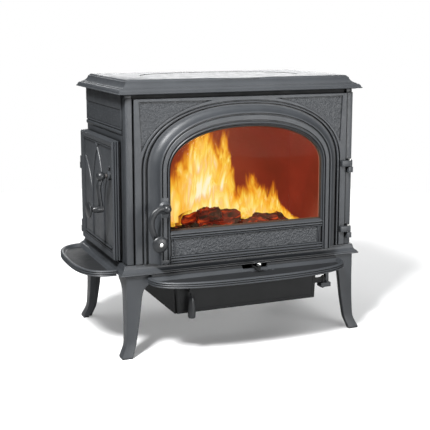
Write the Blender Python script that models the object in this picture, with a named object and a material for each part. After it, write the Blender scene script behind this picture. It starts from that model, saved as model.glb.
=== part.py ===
"""Side-loading cast-iron wood stove: firebox, front and side doors, ash door with its pan, legs, shelves.

Metres, +Z up, +X to the right of someone facing the stove, +Y to the rear. The sizes below are measured
from the middle of the firebox on the floor; stove_frame then carries that point so that the frame's
origin is the middle of the whole stove's box, on the floor.
"""

from math import cos, pi, radians, sin

import bmesh
import bpy
from mathutils import Matrix, Vector

# Firebox walls, front at -Y
BODY_HALF_WIDTH = 0.352
BODY_FRONT = -0.207
BODY_BACK = 0.182
BODY_BOTTOM = 0.262
BODY_TOP = 0.731
WALL = 0.008
GAP = 0.0003

# Top plate and base plate
TOP_PLATE_HEIGHT = 0.040
LIP_OVERHANG = 0.023
LIP_FRONT = 0.0155
LIP_BACK = 0.041
BASE_HEIGHT = 0.029
PLATE_SKIN = 0.011
RIM_WIDTH = 0.040

# Legs and shelves
LEG_TOP_SIZE = 0.080
LEG_ANKLE_SIZE = 0.027
SIDE_SHELF_REACH = 0.098
SIDE_SHELF_HALF_LENGTH = 0.182
FRONT_SHELF_REACH = 0.111
FRONT_SHELF_HALF_WIDTH = 0.302
FRONT_SHELF_DROP = 0.021
SHELF_HEIGHT = 0.018
SHELF_FLOOR = 0.006
SHELF_RIM = 0.012

# Front door
DOOR_SIDE_GAP = 0.003
POST_WIDTH = 0.020
POST_DEPTH = 0.027
DOOR_BOTTOM = 0.264
DOOR_TOP = 0.720
DOOR_THICKNESS = 0.010
DOOR_STAND_OFF = 0.006
FRAME_THICKNESS = 0.008
GASKET = 0.010
BULGE = 0.030
BULGE_HALF_WIDTH = 0.2915
BULGE_RISE = 0.179
BAND_HALF_WIDTH = 0.2655
BAND_RISE = 0.1575
ARCH_SPRING = 0.520
WINDOW_HALF_WIDTH = 0.234
WINDOW_RISE = 0.117
WINDOW_BOTTOM = 0.356
GLASS_OVERLAP = 0.007
GLASS_THICKNESS = 0.005
DOOR_SKIN = 0.009
HINGE_OFFSET = 0.011
HINGE_HEIGHT = 0.018
HINGE_ZS = (0.303, 0.502)
PIN_RADIUS = 0.0035
BORE_CLEARANCE = 0.0004

# Handles of the front and side doors
SPINDLE_RADIUS = 0.005
BOSS_RADIUS = 0.011
HANDLE_X = -0.254
HANDLE_Z = 0.424
HANDLE_DROP = 0.092
HANDLE_SIDESTEP = 0.027
ARM_RADIUS = 0.0055
KNOB_RADIUS = 0.0222
KNOB_HEIGHT = 0.020
SIDE_HANDLE_Y = -0.135
SIDE_HANDLE_Z = 0.505

# Side loading door, on the left
SIDE_DOOR_FRONT = -0.165
SIDE_DOOR_BACK = 0.172
SIDE_DOOR_BOTTOM = 0.268
SIDE_DOOR_TOP = 0.604
SIDE_DOOR_THICKNESS = 0.022
SIDE_DOOR_SKIN = 0.008
SIDE_DOOR_FRAME = 0.032
SIDE_GASKET = 0.0045
SIDE_GASKET_INSET = 0.010
SIDE_GASKET_WIDTH = 0.009
SIDE_HINGE_OFFSET = 0.012

# Ash box, door and pan
ASH_HALF_WIDTH = 0.222
ASH_BOTTOM = 0.116
ASH_FRONT = -0.227
ASH_BACK = 0.060
ASH_WALL = 0.003
ASH_DOOR_THICKNESS = 0.008
ASH_HINGE_X = 0.248
ASH_PAN_LEFT = -0.135
ASH_PAN_BACK = 0.020
ASH_PAN_HEIGHT = 0.060
ASH_HANDLE_X = -0.182
ASH_HANDLE_Z = 0.188
GRIP_RADIUS = 0.011
GRIP_LENGTH = 0.062

# Inside
GRATE_HALF_LENGTH = 0.150
GRATE_HALF_WIDTH = 0.090
GRATE_SLOTS = 7
BURN_PLATE = 0.008
BAFFLE_Z = 0.648
BAFFLE_THICKNESS = 0.012
TUBE_RADIUS = 0.009
FLUE_RADIUS = 0.075
FLUE_WALL = 0.006
FLUE_Z = 0.640
FLUE_LENGTH = 0.052
SHIELD_STANDOFF = 0.014
LEVER_X = 0.022
LEVER_REACH = 0.044
LEVER_TRAVEL = 0.030
LEVER_WIDTH = 0.008
LEVER_THICKNESS = 0.003
AIR_SLOT_HALF_LENGTH = 0.060
AIR_SLOT_WIDTH = 0.020

# What follows from the sizes above
LEFT, RIGHT = -1, 1
LIP_HALF_WIDTH = BODY_HALF_WIDTH + LIP_OVERHANG
BASE_BOTTOM = BODY_BOTTOM - BASE_HEIGHT
SHELF_LEFT = -LIP_HALF_WIDTH - GAP - SIDE_SHELF_REACH
SHELF_FRONT = BODY_FRONT - LIP_FRONT - 0.008 - FRONT_SHELF_REACH
FRAME_BACK = BODY_FRONT + POST_DEPTH - 0.004
FRAME_FRONT = FRAME_BACK - FRAME_THICKNESS
DOOR_BACK = BODY_FRONT + DOOR_STAND_OFF - DOOR_THICKNESS + 0.008
DOOR_FACE = DOOR_BACK - DOOR_THICKNESS
BULGE_FACE = DOOR_FACE - BULGE
DOOR_HALF_WIDTH = BODY_HALF_WIDTH - POST_WIDTH - DOOR_SIDE_GAP
HINGE_X = DOOR_HALF_WIDTH + HINGE_OFFSET
HINGE_Y = DOOR_FACE - 0.004
PANEL_OUT = BODY_HALF_WIDTH
SIDE_DOOR_INNER = -PANEL_OUT - SIDE_GASKET - GAP
SIDE_DOOR_OUTER = SIDE_DOOR_INNER - SIDE_DOOR_THICKNESS
SIDE_HINGE_X = SIDE_DOOR_INNER - 0.6 * SIDE_DOOR_THICKNESS
SIDE_HINGE_Y = SIDE_DOOR_BACK + SIDE_HINGE_OFFSET
FLUE_END = BODY_BACK + FLUE_LENGTH
FOOT_TURN_OUT = 0.020
FOOT_INSET = 0.018
FOOT_REACH = LIP_HALF_WIDTH - FOOT_INSET + FOOT_TURN_OUT
LEVER_Z = BASE_BOTTOM - 0.003
AIR_SLOT_Y = BODY_FRONT + POST_DEPTH + 0.014

for leftover in list(bpy.data.objects):
    bpy.data.objects.remove(leftover, do_unlink=True)

PARTS = bpy.data.collections.new("wood_stove")
CUTTERS = bpy.data.collections.new("cutters")
CUTTERS.hide_render = True
for collection in (PARTS, CUTTERS):
    bpy.context.scene.collection.children.link(collection)

STOVE_FRAME = bpy.data.objects.new("stove_frame", None)
STOVE_FRAME.location = (-(SHELF_LEFT + FOOT_REACH) / 2, -(SHELF_FRONT + FLUE_END) / 2, 0)
PARTS.objects.link(STOVE_FRAME)


def material(name, color, roughness, metallic=0.0):
    made = bpy.data.materials.new(name)
    made.use_nodes = True
    shader = made.node_tree.nodes["Principled BSDF"]
    shader.inputs["Base Color"].default_value = (*color, 1)
    shader.inputs["Roughness"].default_value = roughness
    shader.inputs["Metallic"].default_value = metallic
    return made


IRON = material("painted_iron", (0.085, 0.092, 0.10), 0.55)
DARK_IRON = material("bare_iron", (0.045, 0.043, 0.042), 0.7, 0.3)
STEEL = material("sheet_steel", (0.06, 0.062, 0.065), 0.5, 0.4)
BRIGHT = material("bright_steel", (0.62, 0.62, 0.60), 0.25, 1.0)
GLASS = material("ceramic_glass", (0.16, 0.12, 0.10), 0.05)
ROPE = material("glass_rope", (0.10, 0.10, 0.10), 0.95)
VERMICULITE = material("vermiculite", (0.45, 0.36, 0.25), 0.95)


# ---------------------------------------------------------------- shapes


def finish(name, bm, surface, smooth=None):
    """Turn bm into a named part, or into a wire-frame cutter when it has no surface."""
    bmesh.ops.recalc_face_normals(bm, faces=bm.faces)
    mesh = bpy.data.meshes.new(name)
    bm.to_mesh(mesh)
    bm.free()
    made = bpy.data.objects.new(name, mesh)
    if surface is None:
        CUTTERS.objects.link(made)
        made.hide_render = True
        made.display_type = "WIRE"
    else:
        PARTS.objects.link(made)
        mesh.materials.append(surface)
    made.parent = STOVE_FRAME
    if smooth:
        mesh.shade_smooth()
        mesh.set_sharp_from_angle(angle=radians(smooth))
    return made


def box(name, low, high, surface=None):
    bm = bmesh.new()
    bmesh.ops.create_cube(bm, size=1)
    size = Vector(high) - Vector(low)
    middle = (Vector(high) + Vector(low)) / 2
    bmesh.ops.transform(bm, verts=bm.verts, matrix=Matrix.Translation(middle) @ Matrix.Diagonal((*size, 1)))
    return finish(name, bm, surface)


def axis_turn(axis):
    """The turn that lays a shape made along Z along the named axis."""
    return {"X": Matrix.Rotation(pi / 2, 4, "Y"), "Y": Matrix.Rotation(-pi / 2, 4, "X"), "Z": Matrix()}[axis]


def rod(name, start, length, radius, axis, surface=None, end_radius=None, sides=20):
    """A cylinder, or a cone with end_radius, from start along +axis."""
    bm = bmesh.new()
    tip = radius if end_radius is None else end_radius
    bmesh.ops.create_cone(bm, cap_ends=True, segments=sides, radius1=radius, radius2=tip, depth=length)
    shift = Matrix.Translation((0, 0, length / 2))
    bmesh.ops.transform(bm, verts=bm.verts, matrix=Matrix.Translation(start) @ axis_turn(axis) @ shift)
    return finish(name, bm, surface, smooth=40)


def turned(name, profile, origin, axis, surface, sides=28):
    """A solid of revolution: profile is (radius, height) from its foot to its tip, along +axis."""
    sections = []
    for radius, height in profile:
        ring = []
        for step in range(sides):
            angle = 2 * pi * step / sides
            ring.append(Vector((radius * cos(angle), radius * sin(angle), height)))
        sections.append(ring)
    place = Matrix.Translation(origin) @ axis_turn(axis)
    return loft(name, [[place @ point for point in ring] for ring in sections], surface, smooth=35)


def loft(name, sections, surface=None, smooth=None):
    """Join closed sections of equal point counts in turn, with a face over each end."""
    bm = bmesh.new()
    rings = [[bm.verts.new(point) for point in section] for section in sections]
    count = len(rings[0])
    for lower, upper in zip(rings, rings[1:]):
        for index in range(count):
            after = (index + 1) % count
            bm.faces.new((lower[index], lower[after], upper[after], upper[index]))
    bm.faces.new(rings[0][::-1])
    bm.faces.new(rings[-1])
    return finish(name, bm, surface, smooth)


def ring_loft(name, sections, surface):
    """Join closed sections in turn and the last to the first, which leaves a ring."""
    bm = bmesh.new()
    rings = [[bm.verts.new(point) for point in section] for section in sections]
    count = len(rings[0])
    for lower, upper in zip(rings, rings[1:] + rings[:1]):
        for index in range(count):
            after = (index + 1) % count
            bm.faces.new((lower[index], lower[after], upper[after], upper[index]))
    return finish(name, bm, surface)


def cut(target, *cutters, operation="DIFFERENCE"):
    for cutter in cutters:
        boolean = target.modifiers.new(cutter.name, "BOOLEAN")
        boolean.operation = operation
        boolean.object = cutter
    return target


def join(target, *added):
    return cut(target, *added, operation="UNION")


def rect(x0, x1, y0, y1, z):
    return [(x0, y0, z), (x1, y0, z), (x1, y1, z), (x0, y1, z)]


def arch(half_width, rise, bottom, y, power=2.2, steps=24):
    """A closed outline in the plane of the front: straight legs under a flat basket arch."""
    outline = [(-half_width, y, bottom)]
    for step in range(steps + 1):
        turn = pi - pi * step / steps
        across = abs(cos(turn)) ** (2 / power) * (1 if cos(turn) > 0 else -1)
        up = max(sin(turn), 0.0) ** (2 / power)
        outline.append((half_width * across, y, ARCH_SPRING + rise * up))
    outline.append((half_width, y, bottom))
    return outline


def bowed(half_length, reach, inset, z, steps=20, power=2.8):
    """Half of a rounded outline as (along, outward, z): the shelves' shape, drawn in from the edge by inset."""
    outline = []
    for step in range(steps + 1):
        turn = pi * step / steps
        along = abs(cos(turn)) ** (2 / power) * (1 if cos(turn) > 0 else -1)
        out = max(sin(turn), 0.0) ** (2 / power)
        outline.append(((half_length - inset) * along, (reach - inset) * out, z))
    return outline


# ---------------------------------------------------------------- body


def moulded_plate(name, profile, pocket):
    """A plate with a stepped edge all round; profile is (inset from the lip, height) from foot to tip."""
    front = BODY_FRONT - LIP_FRONT
    back = BODY_BACK + LIP_BACK
    sections = []
    for inset, z in profile:
        sections.append(rect(-LIP_HALF_WIDTH + inset, LIP_HALF_WIDTH - inset, front + inset, back - inset, z))
    hollow = box(
        name + "_pocket",
        (-LIP_HALF_WIDTH + RIM_WIDTH, front + RIM_WIDTH, pocket[0]),
        (LIP_HALF_WIDTH - RIM_WIDTH, back - RIM_WIDTH, pocket[1]),
    )
    return cut(loft(name, sections, IRON), hollow)


def make_top_plate():
    low = BODY_TOP + GAP
    profile = [(0.014, low), (0.0, low + 0.003), (0.001, low + 0.006), (0.006, low + 0.010)]
    profile += [(0.010, low + 0.015), (0.015, low + 0.0165), (0.020, low + 0.019), (0.026, low + 0.026)]
    profile += [(0.031, low + 0.034), (0.038, low + TOP_PLATE_HEIGHT)]
    pocket = (low - 0.001, low + TOP_PLATE_HEIGHT - PLATE_SKIN)
    moulded_plate("top_plate", profile, pocket)


def make_base_plate():
    profile = [(0.010, BASE_BOTTOM), (0.001, BASE_BOTTOM + 0.002), (0.0, BASE_BOTTOM + 0.006)]
    profile += [(0.006, BASE_BOTTOM + 0.009), (0.009, BASE_BOTTOM + 0.016), (0.014, BASE_BOTTOM + 0.023)]
    profile += [(0.0145, BODY_BOTTOM - GAP)]
    pocket = (BASE_BOTTOM - 0.001, BODY_BOTTOM - PLATE_SKIN)
    plate = moulded_plate("base_plate", profile, pocket)
    ash_drop = box(
        "ash_drop_hole",
        (-GRATE_HALF_LENGTH + 0.012, -GRATE_HALF_WIDTH + 0.012, BASE_BOTTOM),
        (GRATE_HALF_LENGTH - 0.012, GRATE_HALF_WIDTH - 0.012, BODY_BOTTOM + 0.01),
    )
    air_inlet = box(
        "air_inlet_slot",
        (LEVER_X - AIR_SLOT_HALF_LENGTH, AIR_SLOT_Y - AIR_SLOT_WIDTH / 2, BASE_BOTTOM),
        (LEVER_X + AIR_SLOT_HALF_LENGTH, AIR_SLOT_Y + AIR_SLOT_WIDTH / 2, BODY_BOTTOM + 0.01),
    )
    cut(plate, ash_drop, air_inlet)


def make_walls():
    side_front = BODY_FRONT + POST_DEPTH + GAP
    side_back = BODY_BACK
    back_half = PANEL_OUT - WALL - GAP
    top = BODY_TOP - GAP
    low = BODY_BOTTOM
    box("side_panel_right", (PANEL_OUT - WALL, side_front, low), (PANEL_OUT, side_back, top), IRON)
    left = box("side_panel_left", (-PANEL_OUT, side_front, low), (-PANEL_OUT + WALL, side_back, top), IRON)
    loading_hole = box(
        "loading_hole",
        (-PANEL_OUT - 0.01, SIDE_DOOR_FRONT + SIDE_DOOR_FRAME, SIDE_DOOR_BOTTOM + SIDE_DOOR_FRAME),
        (-PANEL_OUT + 0.02, SIDE_DOOR_BACK - SIDE_DOOR_FRAME, SIDE_DOOR_TOP - SIDE_DOOR_FRAME),
    )
    gasket_edge = SIDE_DOOR_FRONT + SIDE_GASKET_INSET + SIDE_GASKET_WIDTH
    latch_notch = box(
        "side_latch_notch",
        (-PANEL_OUT - 0.01, gasket_edge + 0.0005, SIDE_HANDLE_Z - 0.022),
        (-PANEL_OUT + 0.02, SIDE_DOOR_FRONT + SIDE_DOOR_FRAME + 0.01, SIDE_HANDLE_Z + 0.022),
    )
    cut(left, loading_hole, latch_notch)
    back = box("back_panel", (-back_half, BODY_BACK - WALL, low), (back_half, BODY_BACK, top), IRON)
    cut(back, rod("back_flue_hole", (0, BODY_BACK - 0.02, FLUE_Z), 0.04, FLUE_RADIUS, "Y", sides=32))
    for side, word in ((LEFT, "left"), (RIGHT, "right")):
        inner = side * (PANEL_OUT - POST_WIDTH)
        outer = side * PANEL_OUT
        post = box(
            "front_post_" + word,
            (min(inner, outer), BODY_FRONT, low),
            (max(inner, outer), BODY_FRONT + POST_DEPTH, top),
            IRON,
        )
    half = PANEL_OUT - POST_WIDTH - GAP
    frame = box("front_frame", (-half, FRAME_FRONT, low), (half, FRAME_BACK, top), IRON)
    cut(frame, box("front_opening", (-0.270, FRAME_FRONT - 0.01, 0.292), (0.270, FRAME_BACK + 0.01, 0.690)))
    return post, left


def make_leg(name, side, depth_side):
    """A cabriole leg: wide under the base, slim at the ankle, with its foot turned out at the corner."""
    corner_x = side * (LIP_HALF_WIDTH - FOOT_INSET)
    corner_y = BODY_FRONT - 0.008 if depth_side < 0 else BODY_BACK + 0.026
    top = BASE_BOTTOM - GAP
    bracket = LEG_TOP_SIZE
    ankle = LEG_ANKLE_SIZE
    rows = [(top, bracket, 0.0), (top - 0.018, bracket * 0.98, 0.0), (top - 0.030, bracket * 0.76, 0.0)]
    rows += [(top - 0.045, bracket * 0.60, 0.0), (top - 0.062, bracket * 0.53, 0.0)]
    rows += [(0.105, ankle * 1.26, -0.001), (0.042, ankle, -0.003), (0.026, ankle * 1.02, -0.008)]
    rows += [(0.010, ankle * 1.05, -FOOT_TURN_OUT), (0.0, ankle * 0.98, -0.018)]
    sections = []
    for z, size, inward in rows:
        x_out = corner_x - side * inward
        y_out = corner_y - depth_side * inward * 0.6
        x_in = x_out - side * size
        y_in = y_out - depth_side * size
        bevel = size * 0.30
        ring = [(x_out, y_out, z), (x_in, y_out, z), (x_in, y_in + depth_side * bevel, z)]
        ring += [(x_in + side * bevel, y_in, z), (x_out, y_in, z)]
        sections.append(ring)
    loft(name, sections, IRON)


def make_shelf(name, place, half_length, reach, z):
    """A bowed tray with a raised rim; place turns (along, outward, z) into the stove's own directions."""
    floor = z + SHELF_FLOOR
    top = z + SHELF_HEIGHT
    outline = [(0.004, z), (0.0, z + 0.004), (0.001, top - 0.003), (0.004, top)]
    inside = [(0.004 + SHELF_RIM, floor), (SHELF_RIM, top)]
    solid = []
    for inset, height in outline:
        solid.append([place(point) for point in bowed(half_length, reach, inset, height)])
    dish = []
    for inset, height in (inside[0], (inside[1][0], top + 0.002)):
        dish.append([place(point, SHELF_RIM) for point in bowed(half_length, reach - SHELF_RIM, inset, height)])
    return cut(loft(name, solid, IRON), loft(name + "_dish", dish))


def make_shelves():
    side_edge = -LIP_HALF_WIDTH - GAP
    front_edge = BODY_FRONT - LIP_FRONT - 0.008

    def at_side(point, back_off=0.0):
        return (side_edge - back_off - point[1], point[0], point[2])

    def at_front(point, back_off=0.0):
        return (point[0], front_edge - back_off - point[1], point[2])

    make_shelf("side_shelf", at_side, SIDE_SHELF_HALF_LENGTH, SIDE_SHELF_REACH, BASE_BOTTOM - 0.004)
    low = BASE_BOTTOM - FRONT_SHELF_DROP
    shelf = make_shelf("front_shelf", at_front, FRONT_SHELF_HALF_WIDTH, FRONT_SHELF_REACH, low)
    sweep = LEVER_TRAVEL + 0.5 * LEVER_WIDTH + 0.004
    notch_low = (LEVER_X - sweep, front_edge - SHELF_RIM - 0.005, LEVER_Z - LEVER_THICKNESS - 0.001)
    cut(shelf, box("lever_notch", notch_low, (LEVER_X + sweep, front_edge + 0.005, BASE_BOTTOM + 0.01)))


# ---------------------------------------------------------------- front door


def make_front_door():
    bottom = DOOR_BOTTOM
    frame = box(
        "front_door_frame",
        (-DOOR_HALF_WIDTH, DOOR_FACE, bottom),
        (DOOR_HALF_WIDTH, DOOR_BACK, DOOR_TOP),
        IRON,
    )
    cove = [(BULGE_HALF_WIDTH, BULGE_RISE, 0.0)]
    for share in (0.0, 0.45, 0.8, 1.0):
        turn = share * pi / 2
        cove.append(
            (
                BAND_HALF_WIDTH + (BULGE_HALF_WIDTH - BAND_HALF_WIDTH) * (1 - sin(turn)),
                BAND_RISE + (BULGE_RISE - BAND_RISE) * (1 - sin(turn)),
                0.002 + (BULGE - 0.002) * (1 - cos(turn)),
            )
        )
    sections = [arch(BULGE_HALF_WIDTH, BULGE_RISE, bottom, DOOR_FACE + 0.004)]
    for half_width, rise, out in cove[1:]:
        sections.append(arch(half_width, rise, bottom, DOOR_FACE - out))
    raised = loft("front_door_bulge", sections)
    hollow = [
        arch(BAND_HALF_WIDTH - 0.010, BAND_RISE - 0.010, bottom + 0.010, BULGE_FACE + DOOR_SKIN),
        arch(BAND_HALF_WIDTH - 0.010, BAND_RISE - 0.010, bottom + 0.010, DOOR_BACK + 0.01),
    ]
    window = [
        arch(WINDOW_HALF_WIDTH, WINDOW_RISE, WINDOW_BOTTOM, BULGE_FACE - 0.01),
        arch(WINDOW_HALF_WIDTH, WINDOW_RISE, WINDOW_BOTTOM, DOOR_BACK + 0.01),
    ]
    boss = rod(
        "handle_boss",
        (HANDLE_X, BULGE_FACE + 0.002, HANDLE_Z),
        DOOR_BACK - BULGE_FACE - 0.003,
        BOSS_RADIUS,
        "Y",
    )
    bore = rod(
        "handle_bore", (HANDLE_X, BULGE_FACE - 0.02, HANDLE_Z), 0.08, SPINDLE_RADIUS + BORE_CLEARANCE, "Y"
    )
    join(frame, raised)
    cut(frame, loft("door_hollow", hollow), loft("door_window", window))
    join(frame, boss)
    cut(frame, bore)
    return frame


def make_glazing():
    seat = BULGE_FACE + DOOR_SKIN + GAP
    gasket_back = seat + 0.002
    glass_front = gasket_back + GAP
    glass_back = glass_front + GLASS_THICKNESS
    wide = WINDOW_HALF_WIDTH + GLASS_OVERLAP
    rise = WINDOW_RISE + GLASS_OVERLAP
    low = WINDOW_BOTTOM - GLASS_OVERLAP
    sections = []
    for half_width, top, bottom, y in (
        (wide, rise, low, seat),
        (wide, rise, low, gasket_back),
        (WINDOW_HALF_WIDTH + 0.001, WINDOW_RISE + 0.001, WINDOW_BOTTOM - 0.001, gasket_back),
        (WINDOW_HALF_WIDTH + 0.001, WINDOW_RISE + 0.001, WINDOW_BOTTOM - 0.001, seat),
    ):
        sections.append(arch(half_width, top, bottom, y))
    ring_loft("glass_gasket", sections, ROPE)
    loft("door_glass", [arch(wide, rise, low, glass_front), arch(wide, rise, low, glass_back)], GLASS)
    retainer_front = glass_back + GAP
    retainer_back = retainer_front + 0.003
    sections = []
    for grow, y in ((0.001, retainer_front), (0.001, retainer_back), (-0.009, retainer_back), (-0.009, retainer_front)):
        sections.append(arch(wide + grow, rise + grow, low - grow, y))
    ring_loft("glass_retainer", sections, STEEL)


def make_door_gasket():
    back = FRAME_FRONT - GAP
    front = DOOR_BACK + GAP
    low, high = 0.275, 0.705
    sections = []
    for inset, y in ((0, front), (0, back), (GASKET, back), (GASKET, front)):
        half = 0.295 - inset
        sections.append([(-half, y, low + inset), (half, y, low + inset), (half, y, high - inset), (-half, y, high - inset)])
    ring_loft("front_door_gasket", sections, ROPE)


def make_front_hinge(word, z, post, door):
    """A lug on the post holds an upright pin; the door's strap ends in an eye that turns on the pin."""
    front = HINGE_Y - 0.008
    lug_low = (DOOR_HALF_WIDTH + DOOR_SIDE_GAP + 0.001, front, z - HINGE_HEIGHT)
    lug = box("front_hinge_lug_" + word, lug_low, (HINGE_X + 0.008, BODY_FRONT + 0.002, z - 0.001))
    pin_low = z - HINGE_HEIGHT - 0.002
    rod(
        "front_hinge_pin_" + word,
        (HINGE_X, HINGE_Y, pin_low),
        2 * HINGE_HEIGHT + 0.006,
        PIN_RADIUS,
        "Z",
        BRIGHT,
    )
    join(post, lug)
    cut(post, rod("front_pin_seat_" + word, (HINGE_X, HINGE_Y, z - 0.05), 0.10, PIN_RADIUS + GAP, "Z"))
    strap_low = (DOOR_HALF_WIDTH - 0.018, front, z)
    strap = box("front_hinge_strap_" + word, strap_low, (HINGE_X, HINGE_Y + 0.007, z + HINGE_HEIGHT))
    eye = rod("front_hinge_eye_" + word, (HINGE_X, HINGE_Y, z), HINGE_HEIGHT, 0.008, "Z")
    bore_radius = PIN_RADIUS + BORE_CLEARANCE
    join(door, strap, eye)
    cut(door, rod("front_eye_bore_" + word, (HINGE_X, HINGE_Y, z - 0.0005), 0.05, bore_radius, "Z"))


def make_knob(name, place, axis, direction):
    """A domed knob on a short neck, its crown facing along direction times +axis."""
    profile = [(0.007, 0.0), (0.007, 0.006), (0.014, 0.008), (0.021, 0.011), (KNOB_RADIUS, 0.014)]
    profile += [(0.0205, 0.0175), (0.015, 0.0195), (0.0045, KNOB_HEIGHT)]
    return turned(name, [(radius, direction * height) for radius, height in profile], place, axis, IRON)


def tube_path(name, points, radius, surface, sides=2):
    """A round bar along a smooth line through the points, made a mesh so that it can be joined."""
    curve = bpy.data.curves.new(name, "CURVE")
    curve.dimensions = "3D"
    curve.bevel_depth = radius
    curve.bevel_resolution = sides
    curve.use_fill_caps = True
    curve.resolution_u = 5
    spline = curve.splines.new("BEZIER")
    spline.bezier_points.add(len(points) - 1)
    for knot, point in zip(spline.bezier_points, points):
        knot.co = point
        knot.handle_left_type = knot.handle_right_type = "AUTO"
    guide = bpy.data.objects.new(name + "_guide", curve)
    CUTTERS.objects.link(guide)
    graph = bpy.context.evaluated_depsgraph_get()
    mesh = bpy.data.meshes.new_from_object(guide.evaluated_get(graph))
    bpy.data.objects.remove(guide, do_unlink=True)
    bm = bmesh.new()
    bm.from_mesh(mesh)
    bmesh.ops.remove_doubles(bm, verts=bm.verts, dist=0.00001)
    return finish(name, bm, surface, smooth=50)


def make_front_handle():
    out = BULGE_FACE - 0.018
    escutcheon = turned(
        "front_handle_escutcheon",
        [(0.018, 0.0), (0.018, -0.003), (0.013, -0.006), (0.010, -0.0065)],
        (HANDLE_X, BULGE_FACE - GAP, HANDLE_Z),
        "Y",
        IRON,
    )
    cut(escutcheon, rod("escutcheon_bore", (HANDLE_X, out - 0.02, HANDLE_Z), 0.08, SPINDLE_RADIUS + BORE_CLEARANCE, "Y"))
    rod("front_handle_spindle", (HANDLE_X, out, HANDLE_Z), FRAME_FRONT - out + 0.004, SPINDLE_RADIUS, "Y", DARK_IRON)
    knob_x = HANDLE_X - HANDLE_SIDESTEP
    knob_z = HANDLE_Z - HANDLE_DROP
    arm_points = [(HANDLE_X, out, HANDLE_Z), (HANDLE_X - 0.020, out - 0.002, HANDLE_Z + 0.001)]
    arm_points += [(HANDLE_X - 0.041, out - 0.003, HANDLE_Z - 0.017), (HANDLE_X - 0.047, out - 0.003, HANDLE_Z - 0.036)]
    arm_points += [(HANDLE_X - 0.040, out - 0.002, HANDLE_Z - 0.066), (knob_x, out, knob_z)]
    arm = tube_path("front_handle_arm", arm_points, ARM_RADIUS, IRON)
    ball = turned(
        "front_handle_ball",
        [(0.0075, 0.010), (0.011, 0.005), (0.0125, -0.002), (0.011, -0.009), (0.0065, -0.0135)],
        (HANDLE_X, out, HANDLE_Z),
        "Y",
        None,
    )
    eye = rod("front_arm_eye", (knob_x, out - 0.006, knob_z), 0.012, 0.0085, "Y")
    socket = rod("front_arm_socket", (HANDLE_X, out - 0.0003, HANDLE_Z), 0.06, SPINDLE_RADIUS + GAP, "Y")
    stud = rod("front_arm_stud_hole", (knob_x, out - 0.03, knob_z), 0.06, 0.0033, "Y")
    join(arm, ball, eye)
    cut(arm, socket, stud)
    knob = make_knob("front_handle_knob", (knob_x, out - 0.006 - GAP, knob_z), "Y", -1)
    cut(knob, rod("front_knob_bore", (knob_x, out - 0.04, knob_z), 0.06, 0.0033, "Y"))
    bolt = rod("front_handle_bolt", (knob_x, out - 0.028, knob_z), 0.034, 0.003, "Y", BRIGHT)
    join(bolt, rod("front_bolt_head", (knob_x, out - 0.0295, knob_z), 0.0028, 0.0055, "Y"))
    pawl_y = FRAME_FRONT + 0.004
    box("front_latch_pawl", (HANDLE_X - 0.006, pawl_y + GAP, HANDLE_Z - 0.012), (HANDLE_X + 0.006, pawl_y + 0.006, HANDLE_Z + 0.007), DARK_IRON)


# ---------------------------------------------------------------- side door


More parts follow.
